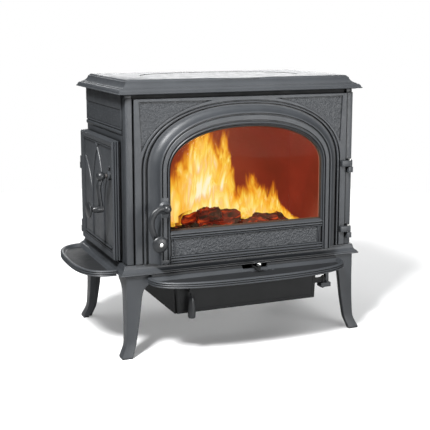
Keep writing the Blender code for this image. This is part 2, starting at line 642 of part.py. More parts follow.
def make_side_door(panel):
    low = (SIDE_DOOR_OUTER, SIDE_DOOR_FRONT, SIDE_DOOR_BOTTOM)
    high = (SIDE_DOOR_INNER, SIDE_DOOR_BACK, SIDE_DOOR_TOP)
    door = box("side_door_frame", low, high, IRON)
    edge = SIDE_DOOR_FRAME - 0.008
    hollow = box(
        "side_door_hollow",
        (SIDE_DOOR_OUTER + SIDE_DOOR_SKIN, low[1] + edge, low[2] + edge),
        (SIDE_DOOR_INNER + 0.01, high[1] - edge, high[2] - edge),
    )
    face = box(
        "side_door_face_recess",
        (SIDE_DOOR_OUTER - 0.01, low[1] + 0.020, low[2] + 0.024),
        (SIDE_DOOR_OUTER + 0.003, high[1] - 0.020, high[2] - 0.024),
    )
    boss_start = SIDE_DOOR_OUTER - 0.006
    boss = rod("side_boss", (boss_start, SIDE_HANDLE_Y, SIDE_HANDLE_Z), SIDE_DOOR_INNER - boss_start - 0.001, 0.012, "X")
    bore = rod("side_bore", (boss_start - 0.02, SIDE_HANDLE_Y, SIDE_HANDLE_Z), 0.08, SPINDLE_RADIUS + BORE_CLEARANCE, "X")
    cut(door, hollow, face)
    join(door, boss)
    cut(door, bore)
    rope_outer, rope_inner = SIDE_GASKET_INSET, SIDE_GASKET_INSET + SIDE_GASKET_WIDTH
    rope_out, rope_in = SIDE_DOOR_INNER + GAP, -PANEL_OUT - GAP
    sections = []
    for inset, x in ((rope_outer, rope_out), (rope_outer, rope_in), (rope_inner, rope_in), (rope_inner, rope_out)):
        y0, y1 = low[1] + inset, high[1] - inset
        z0, z1 = low[2] + inset, high[2] - inset
        sections.append([(x, y0, z0), (x, y1, z0), (x, y1, z1), (x, y0, z1)])
    ring_loft("side_door_gasket", sections, ROPE)
    liner_inset = SIDE_DOOR_FRAME + 0.006
    box(
        "side_door_liner",
        (SIDE_DOOR_OUTER + SIDE_DOOR_SKIN + 0.004, low[1] + liner_inset + 0.014, low[2] + liner_inset),
        (SIDE_DOOR_OUTER + SIDE_DOOR_SKIN + 0.008, high[1] - liner_inset, high[2] - liner_inset),
        DARK_IRON,
    )
    for word, z in (("lower", 0.303), ("upper", 0.502)):
        pin = rod("side_hinge_pin_" + word, (SIDE_HINGE_X, SIDE_HINGE_Y, z - 0.022), 0.044, PIN_RADIUS, "Z", DARK_IRON)
        lug_low = (SIDE_HINGE_X - 0.007, SIDE_HINGE_Y - 0.007, z - 0.020)
        lug = box("side_hinge_lug_" + word, lug_low, (-PANEL_OUT + 0.002, BODY_BACK - 0.001, z - 0.001))
        tongue = box("side_hinge_tongue_" + word, lug_low, (SIDE_HINGE_X + 0.007, SIDE_HINGE_Y + 0.007, z - 0.001))
        join(panel, lug, tongue)
        cut(panel, rod("side_pin_seat_" + word, (SIDE_HINGE_X, SIDE_HINGE_Y, z - 0.05), 0.12, PIN_RADIUS + GAP, "Z"))
        eye_low = (SIDE_HINGE_X - 0.007, SIDE_DOOR_BACK - 0.004, z)
        eye = box("side_hinge_eye_" + word, eye_low, (SIDE_HINGE_X + 0.007, SIDE_HINGE_Y + 0.007, z + 0.019))
        join(door, eye)
        cut(door, rod("side_eye_bore_" + word, (SIDE_HINGE_X, SIDE_HINGE_Y, z - 0.0005), 0.05, PIN_RADIUS + BORE_CLEARANCE, "Z"))


def make_side_handle():
    out = SIDE_DOOR_OUTER - 0.024
    end_z = SIDE_HANDLE_Z - HANDLE_DROP
    rod("side_handle_spindle", (out, SIDE_HANDLE_Y, SIDE_HANDLE_Z), -PANEL_OUT + WALL - out, SPINDLE_RADIUS, "X", DARK_IRON)
    arm_points = [(out, SIDE_HANDLE_Y, SIDE_HANDLE_Z), (out - 0.005, SIDE_HANDLE_Y, SIDE_HANDLE_Z - 0.020)]
    arm_points += [(out - 0.006, SIDE_HANDLE_Y, SIDE_HANDLE_Z - 0.034), (out - 0.001, SIDE_HANDLE_Y, end_z)]
    arm = tube_path("side_handle_arm", arm_points, ARM_RADIUS, IRON)
    ball = turned(
        "side_handle_ball",
        [(0.0085, 0.014), (0.0115, 0.008), (0.0125, 0.001), (0.0115, -0.006), (0.0065, -0.012)],
        (out, SIDE_HANDLE_Y, SIDE_HANDLE_Z),
        "X",
        None,
    )
    eye = rod("side_arm_eye", (out - 0.0075, SIDE_HANDLE_Y, end_z), 0.0135, 0.0095, "X")
    socket = rod("side_arm_socket", (out - 0.0003, SIDE_HANDLE_Y, SIDE_HANDLE_Z), 0.06, SPINDLE_RADIUS + GAP, "X")
    stud = rod("side_arm_stud_hole", (out - 0.03, SIDE_HANDLE_Y, end_z), 0.06, 0.0043, "X")
    join(arm, ball, eye)
    cut(arm, socket, stud)
    stem = rod("side_handle_stem", (out - 0.030, SIDE_HANDLE_Y, end_z), 0.038, 0.004, "X", DARK_IRON)
    join(stem, rod("side_handle_collar", (out - 0.022, SIDE_HANDLE_Y, end_z), 0.0142, 0.0085, "X"))
    knob = make_knob("side_handle_knob", (out - 0.022 - GAP, SIDE_HANDLE_Y, end_z), "X", -1)
    cut(knob, rod("side_knob_bore", (out - 0.0303, SIDE_HANDLE_Y, end_z), 0.06, 0.0043, "X"))
    pawl_x = -PANEL_OUT + WALL + GAP
    pawl_low = (pawl_x, SIDE_HANDLE_Y - 0.0045, SIDE_HANDLE_Z - 0.0055)
    box("side_latch_pawl", pawl_low, (pawl_x + 0.005, SIDE_HANDLE_Y + 0.015, SIDE_HANDLE_Z + 0.0055), DARK_IRON)


# ---------------------------------------------------------------- ash door and air control


def make_ash_box():
    top = BASE_BOTTOM - GAP
    housing = box(
        "ash_housing", (-ASH_HALF_WIDTH, ASH_FRONT, ASH_BOTTOM), (ASH_HALF_WIDTH, ASH_BACK, top), STEEL
    )
    hollow = box(
        "ash_hollow",
        (-ASH_HALF_WIDTH + ASH_WALL, ASH_FRONT - 0.01, ASH_BOTTOM + ASH_WALL),
        (ASH_HALF_WIDTH - ASH_WALL, ASH_BACK - ASH_WALL, top + 0.01),
    )
    cut(housing, hollow)
    door_back = ASH_FRONT - 0.004
    door_front = door_back - ASH_DOOR_THICKNESS
    low_z, high_z = ASH_BOTTOM + 0.001, 0.2105
    narrow = ASH_HALF_WIDTH - 0.005
    outline = [(-narrow, low_z), (narrow, low_z), (ASH_HALF_WIDTH, high_z), (-ASH_HALF_WIDTH, high_z)]
    sections = [[(x, y, z) for x, z in outline] for y in (door_front, door_back)]
    door = loft("ash_door", sections, STEEL)
    arm = box("ash_hinge_arm", (ASH_HALF_WIDTH - 0.020, door_back - 0.004, 0.160), (ASH_HINGE_X, door_back, 0.176))
    eye = rod("ash_hinge_eye", (ASH_HINGE_X, door_back, 0.160), 0.016, 0.007, "Z")
    bore = rod("ash_hinge_bore", (ASH_HINGE_X, door_back, 0.10), 0.12, PIN_RADIUS + BORE_CLEARANCE, "Z")
    latch_bore = rod("ash_latch_bore", (ASH_HANDLE_X, door_front - 0.02, ASH_HANDLE_Z), 0.06, SPINDLE_RADIUS + BORE_CLEARANCE, "Y")
    join(door, arm, eye)
    cut(door, bore, latch_bore)
    bracket = box("ash_hinge_bracket", (ASH_HINGE_X - 0.010, door_back - 0.010, 0.146), (ASH_HINGE_X + 0.022, door_back + 0.016, 0.159), IRON)
    stem = box("ash_bracket_stem", (ASH_HINGE_X + 0.012, door_back + 0.003, 0.150), (ASH_HINGE_X + 0.022, door_back + 0.016, top))
    join(bracket, stem)
    cut(bracket, rod("ash_pin_seat", (ASH_HINGE_X, door_back, 0.10), 0.12, PIN_RADIUS + GAP, "Z"))
    rod("ash_hinge_pin", (ASH_HINGE_X, door_back, 0.142), 0.038, PIN_RADIUS, "Z", DARK_IRON)
    gasket_low, gasket_high = ASH_BOTTOM + 0.004, 0.2080
    sections = []
    for inset, y in ((0, door_back + GAP), (0, ASH_FRONT - GAP), (0.006, ASH_FRONT - GAP), (0.006, door_back + GAP)):
        half = ASH_HALF_WIDTH - 0.006 - inset
        sections.append([(-half, y, gasket_low + inset), (half, y, gasket_low + inset), (half, y, gasket_high - inset), (-half, y, gasket_high - inset)])
    ring_loft("ash_door_gasket", sections, ROPE)
    return door_front, door_back


def make_ash_pan(door_back):
    right = ASH_HALF_WIDTH - 0.016
    floor = ASH_BOTTOM + ASH_WALL + 0.006
    pan = box("ash_pan", (ASH_PAN_LEFT, ASH_FRONT + 0.008, floor), (right, ASH_PAN_BACK, floor + ASH_PAN_HEIGHT), STEEL)
    cut(pan, box("ash_pan_hollow", (ASH_PAN_LEFT + 0.002, ASH_FRONT + 0.010, floor + 0.002), (right - 0.002, ASH_PAN_BACK - 0.002, floor + 0.2)))
    hook_high = (0.050, ASH_FRONT + 0.009, floor + 0.042)
    join(pan, box("ash_pan_hook", (0.010, door_back + GAP, floor + 0.030), hook_high))


def make_ash_handle(door_front, door_back):
    out = door_front - 0.012
    drop = ASH_HANDLE_Z - 0.018
    stem = rod("ash_handle_rod", (ASH_HANDLE_X, out - 0.006, drop), ASH_HANDLE_Z - drop + 0.008, 0.0045, "Z", STEEL)
    hub = rod("ash_handle_hub", (ASH_HANDLE_X, out - 0.012, ASH_HANDLE_Z), 0.0117, 0.0085, "Y")
    spindle_start = (ASH_HANDLE_X, out - 0.001, ASH_HANDLE_Z)
    spindle = rod("ash_latch_spindle", spindle_start, door_back + 0.014 - out, SPINDLE_RADIUS, "Y")
    join(stem, hub, spindle)
    grip_low = drop - GAP - GRIP_LENGTH
    profile = [(GRIP_RADIUS * 0.85, 0.0), (GRIP_RADIUS, 0.004), (GRIP_RADIUS * 0.98, 0.012)]
    profile += [(GRIP_RADIUS * 0.86, GRIP_LENGTH * 0.80), (GRIP_RADIUS * 0.62, GRIP_LENGTH * 0.96), (GRIP_RADIUS * 0.45, GRIP_LENGTH)]
    turned("ash_handle_grip", profile, (ASH_HANDLE_X, out - 0.006, grip_low), "Z", IRON, sides=20)
    box("ash_latch_pawl", (ASH_HANDLE_X - 0.006, door_back + 0.014 + GAP, ASH_HANDLE_Z - 0.006), (ASH_HANDLE_X + 0.016, door_back + 0.019, ASH_HANDLE_Z + 0.006), DARK_IRON)


def make_air_control():
    """The lever and the plate that it slides over the air inlet, in the base's hollow."""
    left, right = LEVER_X - LEVER_WIDTH / 2, LEVER_X + LEVER_WIDTH / 2
    low = LEVER_Z - LEVER_THICKNESS
    back = AIR_SLOT_Y + 0.004
    front = BODY_FRONT - LIP_FRONT - LEVER_REACH
    knob_foot = LEVER_Z + 0.008
    plate_top = BODY_BOTTOM - PLATE_SKIN - GAP
    plate_low = plate_top - 0.0025
    lever = box("air_lever", (left, front, low), (right, back, LEVER_Z), STEEL)
    upturn = box("air_lever_upturn", (left, front, low), (right, front + 0.004, knob_foot))
    riser = box("air_lever_riser", (left, back - 0.004, low), (right, back, plate_low - GAP))
    join(lever, upturn, riser)
    turned(
        "air_lever_knob",
        [(0.0035, 0.0), (0.0065, 0.002), (0.0075, 0.006), (0.006, 0.0105), (0.002, 0.012)],
        (LEVER_X, front + 0.002, knob_foot + GAP),
        "Z",
        BRIGHT,
        sides=18,
    )
    half = AIR_SLOT_WIDTH / 2 + 0.004
    plate_left, plate_right = LEVER_X - AIR_SLOT_HALF_LENGTH, LEVER_X + AIR_SLOT_HALF_LENGTH / 3
    box(
        "air_slide_plate",
        (plate_left, AIR_SLOT_Y - half, plate_low),
        (plate_right, AIR_SLOT_Y + half, plate_top),
        STEEL,
    )


# ---------------------------------------------------------------- inside and rear


def make_firebox_lining():
    inside = PANEL_OUT - WALL - 0.006
    floor = BODY_BOTTOM
    hearth = box("hearth_plate", (-inside, FRAME_BACK + 0.006, floor), (inside, BODY_BACK - WALL - 0.006, floor + 0.010), DARK_IRON)
    cut(hearth, box("grate_seat", (-GRATE_HALF_LENGTH, -GRATE_HALF_WIDTH, floor - 0.01), (GRATE_HALF_LENGTH, GRATE_HALF_WIDTH, floor + 0.02)))
    grate = box("fire_grate", (-GRATE_HALF_LENGTH + 0.002, -GRATE_HALF_WIDTH + 0.002, floor + GAP), (GRATE_HALF_LENGTH - 0.002, GRATE_HALF_WIDTH - 0.002, floor + 0.012), DARK_IRON)
    pitch = (2 * GRATE_HALF_LENGTH - 0.05) / GRATE_SLOTS
    for index in range(GRATE_SLOTS):
        middle = (index - (GRATE_SLOTS - 1) / 2) * pitch
        cut(grate, box(f"grate_slot_{index}", (middle - 0.010, -GRATE_HALF_WIDTH + 0.02, floor - 0.01), (middle + 0.010, GRATE_HALF_WIDTH - 0.02, floor + 0.03)))
    plate_low = floor + 0.0105
    back_y = BODY_BACK - WALL - 0.010
    box("burn_plate_rear", (-inside, back_y - BURN_PLATE, plate_low), (inside, back_y, BAFFLE_Z - GAP), DARK_IRON)
    box("burn_plate_right", (inside - BURN_PLATE, FRAME_BACK + 0.008, plate_low), (inside, back_y - BURN_PLATE - 0.001, BAFFLE_Z - 0.034), DARK_IRON)
    rail_front = FRAME_BACK + 0.040
    tube_z = BAFFLE_Z - 0.016
    tube_half = PANEL_OUT - WALL - GAP
    for index, y in enumerate((-0.080, 0.050)):
        rod(f"air_tube_{index + 1}", (-tube_half, y, tube_z), 2 * tube_half, TUBE_RADIUS, "X", STEEL, sides=16)
    box("baffle_board", (-inside, rail_front, BAFFLE_Z), (inside, back_y, BAFFLE_Z + BAFFLE_THICKNESS), VERMICULITE)
    wash_low = 0.692
    box("air_wash_deflector", (-0.300, FRAME_BACK + GAP, wash_low), (0.300, FRAME_BACK + 0.030, wash_low + 0.003), STEEL)


def make_flue_and_shield():
    start = BODY_BACK + GAP
    profile = [(FLUE_RADIUS + 0.014, 0.0), (FLUE_RADIUS + 0.014, 0.008), (FLUE_RADIUS + FLUE_WALL + 0.003, 0.011)]
    profile += [(FLUE_RADIUS + FLUE_WALL, 0.016), (FLUE_RADIUS + FLUE_WALL, FLUE_LENGTH - GAP)]
    collar = turned("flue_collar", profile, (0, start, FLUE_Z), "Y", IRON, sides=40)
    cut(collar, rod("flue_bore", (0, start - 0.02, FLUE_Z), 0.12, FLUE_RADIUS, "Y", sides=40))
    shield_y = BODY_BACK + SHIELD_STANDOFF
    shield = box("rear_heat_shield", (-0.300, shield_y, BODY_BOTTOM + 0.020), (0.300, shield_y + 0.002, BODY_TOP - 0.010), STEEL)
    cut(shield, rod("shield_hole", (0, shield_y - 0.01, FLUE_Z), 0.03, FLUE_RADIUS + 0.017, "Y", sides=40))
    cut(shield, box("shield_notch", (-FLUE_RADIUS - 0.017, shield_y - 0.01, FLUE_Z), (FLUE_RADIUS + 0.017, shield_y + 0.02, BODY_TOP)))
    for index, (x, z) in enumerate(((-0.26, 0.32), (0.26, 0.32), (-0.26, 0.68), (0.26, 0.68))):
        spacer_start = (x, BODY_BACK + GAP, z)
        join(shield, rod(f"shield_spacer_{index + 1}", spacer_start, SHIELD_STANDOFF, 0.006, "Y", sides=12))


make_top_plate()
make_base_plate()
RIGHT_POST, LEFT_PANEL = make_walls()
for width_side, width_word in ((LEFT, "left"), (RIGHT, "right")):
    for depth_side, depth_word in ((-1, "front"), (1, "rear")):
        make_leg(f"leg_{depth_word}_{width_word}", width_side, depth_side)
make_shelves()
FRONT_DOOR = make_front_door()
make_glazing()
make_door_gasket()
for hinge_word, hinge_z in zip(("lower", "upper"), HINGE_ZS):
    make_front_hinge(hinge_word, hinge_z, RIGHT_POST, FRONT_DOOR)
make_front_handle()
make_side_door(LEFT_PANEL)
make_side_handle()
ASH_DOOR_FRONT, ASH_DOOR_BACK = make_ash_box()
make_ash_pan(ASH_DOOR_BACK)
make_ash_handle(ASH_DOOR_FRONT, ASH_DOOR_BACK)
make_air_control()
make_firebox_lining()
make_flue_and_shield()
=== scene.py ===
"""Looks of the side-loading wood stove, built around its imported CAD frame.

Sizes are metres in the stove's own directions: X from the middle of the firebox to the right, Y to the
rear, Z up from the floor. piece() carries every mesh from there into the frame's coordinates.
"""

from math import cos, pi, radians, sin

import bmesh
import bpy
from mathutils import Matrix, Vector, noise


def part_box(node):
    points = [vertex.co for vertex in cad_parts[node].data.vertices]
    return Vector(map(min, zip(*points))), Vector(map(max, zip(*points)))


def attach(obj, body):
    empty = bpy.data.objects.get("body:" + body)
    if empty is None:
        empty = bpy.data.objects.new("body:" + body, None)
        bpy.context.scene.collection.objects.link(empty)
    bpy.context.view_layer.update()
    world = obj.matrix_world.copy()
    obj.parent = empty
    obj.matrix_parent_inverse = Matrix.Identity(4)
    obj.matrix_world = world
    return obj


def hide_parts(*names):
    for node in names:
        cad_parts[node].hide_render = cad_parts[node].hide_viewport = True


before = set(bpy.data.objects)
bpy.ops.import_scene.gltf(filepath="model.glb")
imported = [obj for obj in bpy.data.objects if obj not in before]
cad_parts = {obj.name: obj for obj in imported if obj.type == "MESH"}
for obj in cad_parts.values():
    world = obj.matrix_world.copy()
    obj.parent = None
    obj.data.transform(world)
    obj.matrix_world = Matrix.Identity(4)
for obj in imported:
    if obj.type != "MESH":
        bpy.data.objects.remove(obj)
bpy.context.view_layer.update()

# Planes read from the frame, then carried into the stove's own directions
BODY_FRONT = -0.207
LIP_FRONT = 0.0155
TOP_LOW, TOP_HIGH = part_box("top_plate")
MIDDLE = Vector(((TOP_LOW.x + TOP_HIGH.x) / 2, TOP_LOW.y - BODY_FRONT + LIP_FRONT, 0))


def own_box(node):
    low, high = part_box(node)
    return low - MIDDLE, high - MIDDLE


LIP_LOW, LIP_HIGH = own_box("top_plate")
BASE_LOW, BASE_HIGH = own_box("base_plate")
DOOR_LOW, DOOR_HIGH = own_box("front_door_frame")
SIDE_LOW, SIDE_HIGH = own_box("side_door_frame")
BODY_HALF = own_box("side_panel_right")[1].x
BODY_BACK = own_box("back_panel")[1].y
BULGE = 0.03
SLAB = 0.01
DOOR_HALF = 0.329
DOOR_FACE = DOOR_LOW.y + BULGE
DOOR_BACK = DOOR_FACE + SLAB
DOOR_TOP = DOOR_HIGH.z
DOOR_BOTTOM = DOOR_LOW.z
ARCH_SPRING = 0.52
WINDOW_HALF, WINDOW_RISE, WINDOW_BOTTOM = 0.234, 0.117, 0.356
SIDE_DOOR_Y = (-0.165, 0.172)
HANDLE = Vector((-0.254, DOOR_LOW.y - 0.018, 0.424))
HANDLE_DROP = 0.092
SIDE_HANDLE = Vector((-0.4028, -0.135, 0.505))
HINGE_PARTING = 0.02
LEFT, RIGHT = -1, 1


# ---------------- materials


class Shading:
    """The node tree of a material or a world."""

    def __init__(self, owner):
        owner.use_nodes = True
        self.owner = owner
        self.tree = owner.node_tree
        self.output = next(node for node in self.tree.nodes if node.type.startswith("OUTPUT"))
        self.shader = self.output.inputs["Surface"].links[0].from_node

    def fill(self, node, *values, **settings):
        """Set inputs, in order or by name, to values or to other nodes' outputs, and properties by name."""
        for key, value in [*enumerate(values), *settings.items()]:
            if isinstance(key, str) and hasattr(node, key):
                setattr(node, key, value)
                continue
            socket = node.inputs[key.replace("_", " ") if isinstance(key, str) else key]
            if isinstance(value, bpy.types.NodeSocket):
                self.tree.links.new(value, socket)
            else:
                socket.default_value = value

    def add(self, kind, *values, give=0, **settings):
        """Make a node, fill it and return one of its outputs."""
        node = self.tree.nodes.new("ShaderNode" + kind)
        self.fill(node, *values, **settings)
        return node.outputs[give]

    def place(self, stretch=(1, 1, 1)):
        return self.add("Mapping", self.add("TexCoord", give="Object"), Scale=stretch)

    def noise(self, scale, detail=2.0, rough=0.5):
        spot = self.add("TexCoord", give="Object")
        return self.add("TexNoise", spot, Scale=scale, Detail=detail, Roughness=rough, give="Fac")

    def ramp(self, source, stops):
        """A colour ramp fed by source; stops is (position, colour), from the lowest up."""
        node = self.tree.nodes.new("ShaderNodeValToRGB")
        elements = node.color_ramp.elements
        for index, (position, color) in enumerate(stops):
            element = elements[index] if index < 2 else elements.new(position)
            element.position = position
            element.color = (*color, 1)
        self.fill(node, source)
        return node.outputs["Color"]

    def show(self, surface):
        """Put another shader in the Principled one's place."""
        self.tree.nodes.remove(self.shader)
        self.fill(self.output, surface)
        return self.owner


def new_shading(name):
    return Shading(bpy.data.materials.new(name))


def scaled(color, share):
    return tuple(channel * share for channel in color)


def iron_material(name, color, roughness, grain=420, grain_depth=0.00045, lumps=None, edge=0.0, reach=0.012):
    """Painted cast iron: a fine sand grain, slow changes of tone, painted shade darkening hollows and gaps
    between parts, soft edges and, if asked, hammer marks.
    """
    look = new_shading(name)
    tone = look.ramp(look.noise(9.0, 4.0, 0.6), [(0.3, scaled(color, 0.86)), (0.72, scaled(color, 1.12))])
    # Painted shade: ambient occlusion darkens the colour in grooves, recesses and between parts, out to reach
    hollows = look.add("AmbientOcclusion", samples=6, Distance=reach, give="AO")
    shade = look.add("MapRange", hollows, From_Min=0.3, From_Max=0.85, To_Min=0.1, To_Max=1.0)
    painted_shade_tone = look.add("MixRGB", 1.0, tone, shade, blend_type="MULTIPLY")
    smoothest, roughest = roughness - 0.05, roughness + 0.06
    uneven = look.noise(45.0, 3.0)
    polish = look.add("MapRange", uneven, From_Min=0.3, From_Max=0.7, To_Min=smoothest, To_Max=roughest)
    soft = {"Normal": look.add("Bevel", samples=4, Radius=edge)} if edge else {}
    relief = look.add("Bump", Strength=0.8, Distance=grain_depth, Height=look.noise(grain, 3.0, 0.65), **soft)
    if lumps:
        relief = look.add("Bump", Strength=1.0, Distance=0.002, Height=look.noise(lumps), Normal=relief)
    look.fill(look.shader, Base_Color=painted_shade_tone, Roughness=polish, Specular_IOR_Level=0.42, Normal=relief)
    return look.owner


def plain_material(name, color, roughness, metallic=0.0, grain=300, depth=0.0002, gloss=0.5):
    """A solid colour with small variations of tone and a fine bump."""
    look = new_shading(name)
    tone = look.ramp(look.noise(30.0, 4.0), [(0.3, scaled(color, 0.88)), (0.7, scaled(color, 1.12))])
    relief = look.add("Bump", Strength=0.5, Distance=depth, Height=look.noise(grain, 3.0))
    look.fill(look.shader, Base_Color=tone, Roughness=roughness, Metallic=metallic)
    look.fill(look.shader, Specular_IOR_Level=gloss, Normal=relief)
    return look.owner


def rope_material():
    """Braided glass-fibre rope: fine strands across its run."""
    look = new_shading("glass_rope_braid")
    spot = look.add("TexCoord", give="Object")
    weave = look.add("TexWave", spot, Scale=160.0, Distortion=1.5, bands_direction="DIAGONAL", give="Fac")
    tone = look.ramp(weave, [(0.2, (0.05, 0.05, 0.05)), (0.8, (0.16, 0.155, 0.15))])
    relief = look.add("Bump", Strength=0.8, Distance=0.0008, Height=weave)
    look.fill(look.shader, Base_Color=tone, Roughness=0.95, Normal=relief)
    return look.owner


def glass_material():
    """Clear ceramic glass with a faint amber tint and a slight sheen."""
    look = new_shading("ceramic_fire_glass")
    clear = look.add("BsdfTransparent", (1.0, 0.97, 0.88, 1))
    mirror = look.add("BsdfGlossy", Color=(1, 1, 1, 1), Roughness=0.05)
    patches = look.noise(12.0, 3.0)
    smear = look.add("MapRange", patches, From_Min=0.35, From_Max=0.75, To_Min=0.0003, To_Max=0.0012)
    return look.show(look.add("MixShader", smear, clear, mirror))


def glowing_material(
    name, stops, strength, scale, base=(0.02, 0.01, 0.008), stretch=(1, 1, 1), depth=0.004, faces=None
):
    """Charred or hot surface, or painted firelight on parts round the fire: noise picks what glows; with faces,
    only sides that look that way glow.
    """
    look = new_shading(name)
    spot = look.place(stretch)
    cracks = look.add("TexNoise", spot, Scale=scale, Detail=5.0, Roughness=0.62, Distortion=0.6, give="Fac")
    if faces:
        normal = look.add("NewGeometry", give="Normal")
        facing = look.add("VectorMath", normal, faces, operation="DOT_PRODUCT", give="Value")
        strength = look.add("MapRange", facing, From_Min=0.0, From_Max=0.5, To_Min=0.0, To_Max=strength)
    relief = look.add("Bump", Strength=0.9, Distance=depth, Height=cracks)
    look.fill(look.shader, Base_Color=(*base, 1), Roughness=0.9, Normal=relief)
    look.fill(look.shader, Emission_Color=look.ramp(cracks, stops), Emission_Strength=strength)
    return look.owner


def flame_material():
    """Flame: the mesh's warmth attribute, stirred by upward streaks, gives its colour and how clear it is."""
    look = new_shading("flame")
    warmth = look.add("Attribute", attribute_name="warmth", give="Fac")
    spot = look.place((1.0, 0.3, 0.26))
    streaks = look.add("TexNoise", spot, Scale=27.0, Detail=3.5, Roughness=0.55, Distortion=1.3, give="Fac")
    swing = look.add("MapRange", streaks, From_Min=0.28, From_Max=0.72, To_Min=-0.46, To_Max=0.34)
    stirred = look.add("Math", warmth, swing, operation="ADD")
    stops = [(0.02, (0.93, 0.22, 0.012)), (0.26, (0.95, 0.27, 0.014)), (0.44, (0.98, 0.43, 0.03))]
    stops += [(0.62, (0.99, 0.66, 0.095)), (0.82, (1.0, 0.86, 0.36)), (1.00, (1.0, 0.97, 0.8))]
    light = look.add("Emission", look.ramp(stirred, stops), 1.0)
    cover = look.add("MapRange", stirred, interpolation_type="SMOOTHSTEP", From_Min=0.04, From_Max=0.8)
    return look.show(look.add("MixShader", cover, look.add("BsdfTransparent"), light))


PAINT = (0.031, 0.034, 0.038)
IRON = iron_material("painted_cast_iron", PAINT, 0.44)
ROUNDED_IRON = iron_material("painted_cast_iron_rounded", PAINT, 0.44, edge=0.0015)
# Wider painted shade (reach) darkens the hammered fields and their edges
HAMMERED = iron_material("hammered_cast_iron", scaled(PAINT, 0.9), 0.4, lumps=230, reach=0.022)
DARK_TRAY = iron_material("tray_iron", scaled(PAINT, 0.3), 0.62)
# Painted shadow: near-black iron for the front frame, seen only in the shaded recess under the top plate's lip
PAINTED_SHADOW_IRON = iron_material("painted_shadow_iron", scaled(PAINT, 0.22), 0.75)
HANDLE_IRON = iron_material("handle_iron", scaled(PAINT, 0.42), 0.36, grain=900, grain_depth=0.0001)
SHEET = plain_material("painted_sheet_steel", (0.011, 0.0115, 0.012), 0.6, grain=700, depth=0.0001, gloss=0.2)
BARE = plain_material("bare_fire_iron", (0.045, 0.04, 0.038), 0.75, 0.2, grain=260, depth=0.0005)
BRIGHT = plain_material("turned_bright_steel", (0.72, 0.72, 0.7), 0.22, 1.0, grain=900, depth=0.00005)
ROPE = rope_material()
GLASS = glass_material()
# Painted firelight: the burn plates, the baffle board and the glass retainer glow red on the sides facing the
# fire, standing in for the flames' light on them
PAINTED_FIRELIGHT_WALL = glowing_material(
    "fire_lit_iron",
    [(0.3, (0.2, 0.03, 0.018)), (0.75, (0.36, 0.042, 0.026))],
    0.62,
    5.0,
    base=(0.1, 0.03, 0.02),
    depth=0.0006,
    faces=(-1, -1, 0),
)
FIRE_LIT_STEEL = glowing_material(
    "fire_lit_steel",
    [(0.3, (0.26, 0.06, 0.045)), (0.7, (0.4, 0.105, 0.08))],
    0.9,
    30.0,
    base=(0.05, 0.03, 0.03),
    depth=0.0003,
    faces=(-1, 0, 0),
)
PAINTED_FIRELIGHT_BOARD = glowing_material(
    "fire_lit_vermiculite",
    [(0.3, (0.13, 0.026, 0.018)), (0.75, (0.24, 0.044, 0.028))],
    0.62,
    60.0,
    base=(0.16, 0.1, 0.07),
    depth=0.001,
    faces=(0, -1, -1),
)
CHAR = glowing_material(
    "burning_bark",
    [
        (0.42,
        (0.01, 0.002, 0.002)),
        (0.56,
        (0.13, 0.01, 0.006)),
        (0.7,
        (0.62, 0.07, 0.01)),
        (0.84, (1, 0.42, 0.05)),
    ],
    1.0,
    34.0,
    stretch=(0.6, 1.4, 1.4),
)
EMBERS = glowing_material(
    "embers",
    [
        (0.48,
        (0.01, 0.003, 0.003)),
        (0.6,
        (0.2, 0.014, 0.006)),
        (0.72,
        (0.65, 0.08, 0.01)),
        (0.86, (1, 0.35, 0.04)),
    ],
    0.9,
    70.0,
)
CHARCOAL = glowing_material(
    "charcoal",
    [
        (0.56,
        (0.004, 0.002, 0.002)),
        (0.68,
        (0.16, 0.012, 0.006)),
        (0.76,
        (0.6, 0.07, 0.01)),
        (0.9, (1, 0.4, 0.05)),
    ],
    0.9,
    60.0,
)
FLAME = flame_material()


# ---------------- shapes


def add_loft(bm, sections, ends=True, around=False):
    """Join closed sections of equal point counts in turn, with end faces, or the last back to the first."""
    rings = [[bm.verts.new(point) for point in section] for section in sections]
    count = len(rings[0])
    following = rings[1:] + rings[:1] if around else rings[1:]
    for lower, upper in zip(rings, following):
        for index in range(count):
            after = (index + 1) % count
            bm.faces.new((lower[index], lower[after], upper[after], upper[index]))
    if ends and not around:
        bm.faces.new(rings[0][::-1])
        bm.faces.new(rings[-1])


def add_box(bm, low, high, edge=0.001, segments=2):
    """A box with rounded edges."""
    made = bmesh.ops.create_cube(bm, size=1)["verts"]
    size = Vector(high) - Vector(low)
    middle = (Vector(high) + Vector(low)) / 2
    bmesh.ops.transform(bm, verts=made, matrix=Matrix.Translation(middle) @ Matrix.Diagonal((*size, 1)))
    edges = list(dict.fromkeys(rim for corner in made for rim in corner.link_edges))
    bmesh.ops.bevel(bm, geom=edges, offset=edge, segments=segments, profile=0.5, affect="EDGES")


def mm(*points):
    """Points given in millimetres, in metres."""
    return [tuple(value / 1000 for value in point) for point in points]


def axis_turn(axis):
    """The turn that lays a shape made along Z along the named axis."""
    return {"X": Matrix.Rotation(pi / 2, 4, "Y"), "Y": Matrix.Rotation(-pi / 2, 4, "X"), "Z": Matrix()}[axis]


def add_turned(bm, profile, origin, axis, sides=48):
    """A solid of revolution: profile is (radius, height along the axis) from end to end."""
    place = Matrix.Translation(origin) @ axis_turn(axis)
    sections = []
    for radius, height in profile:
        ring = []
        for step in range(sides):
            angle = 2 * pi * step / sides
            ring.append(place @ Vector((radius * cos(angle), radius * sin(angle), height)))
        sections.append(ring)
    add_loft(bm, sections)


def rounded_profile(points, steps=5):
    """A smooth line through profile points, for turned shapes."""
    return [(point.x, point.y) for point in smooth_line([Vector((a, b, 0)) for a, b in points], steps)]


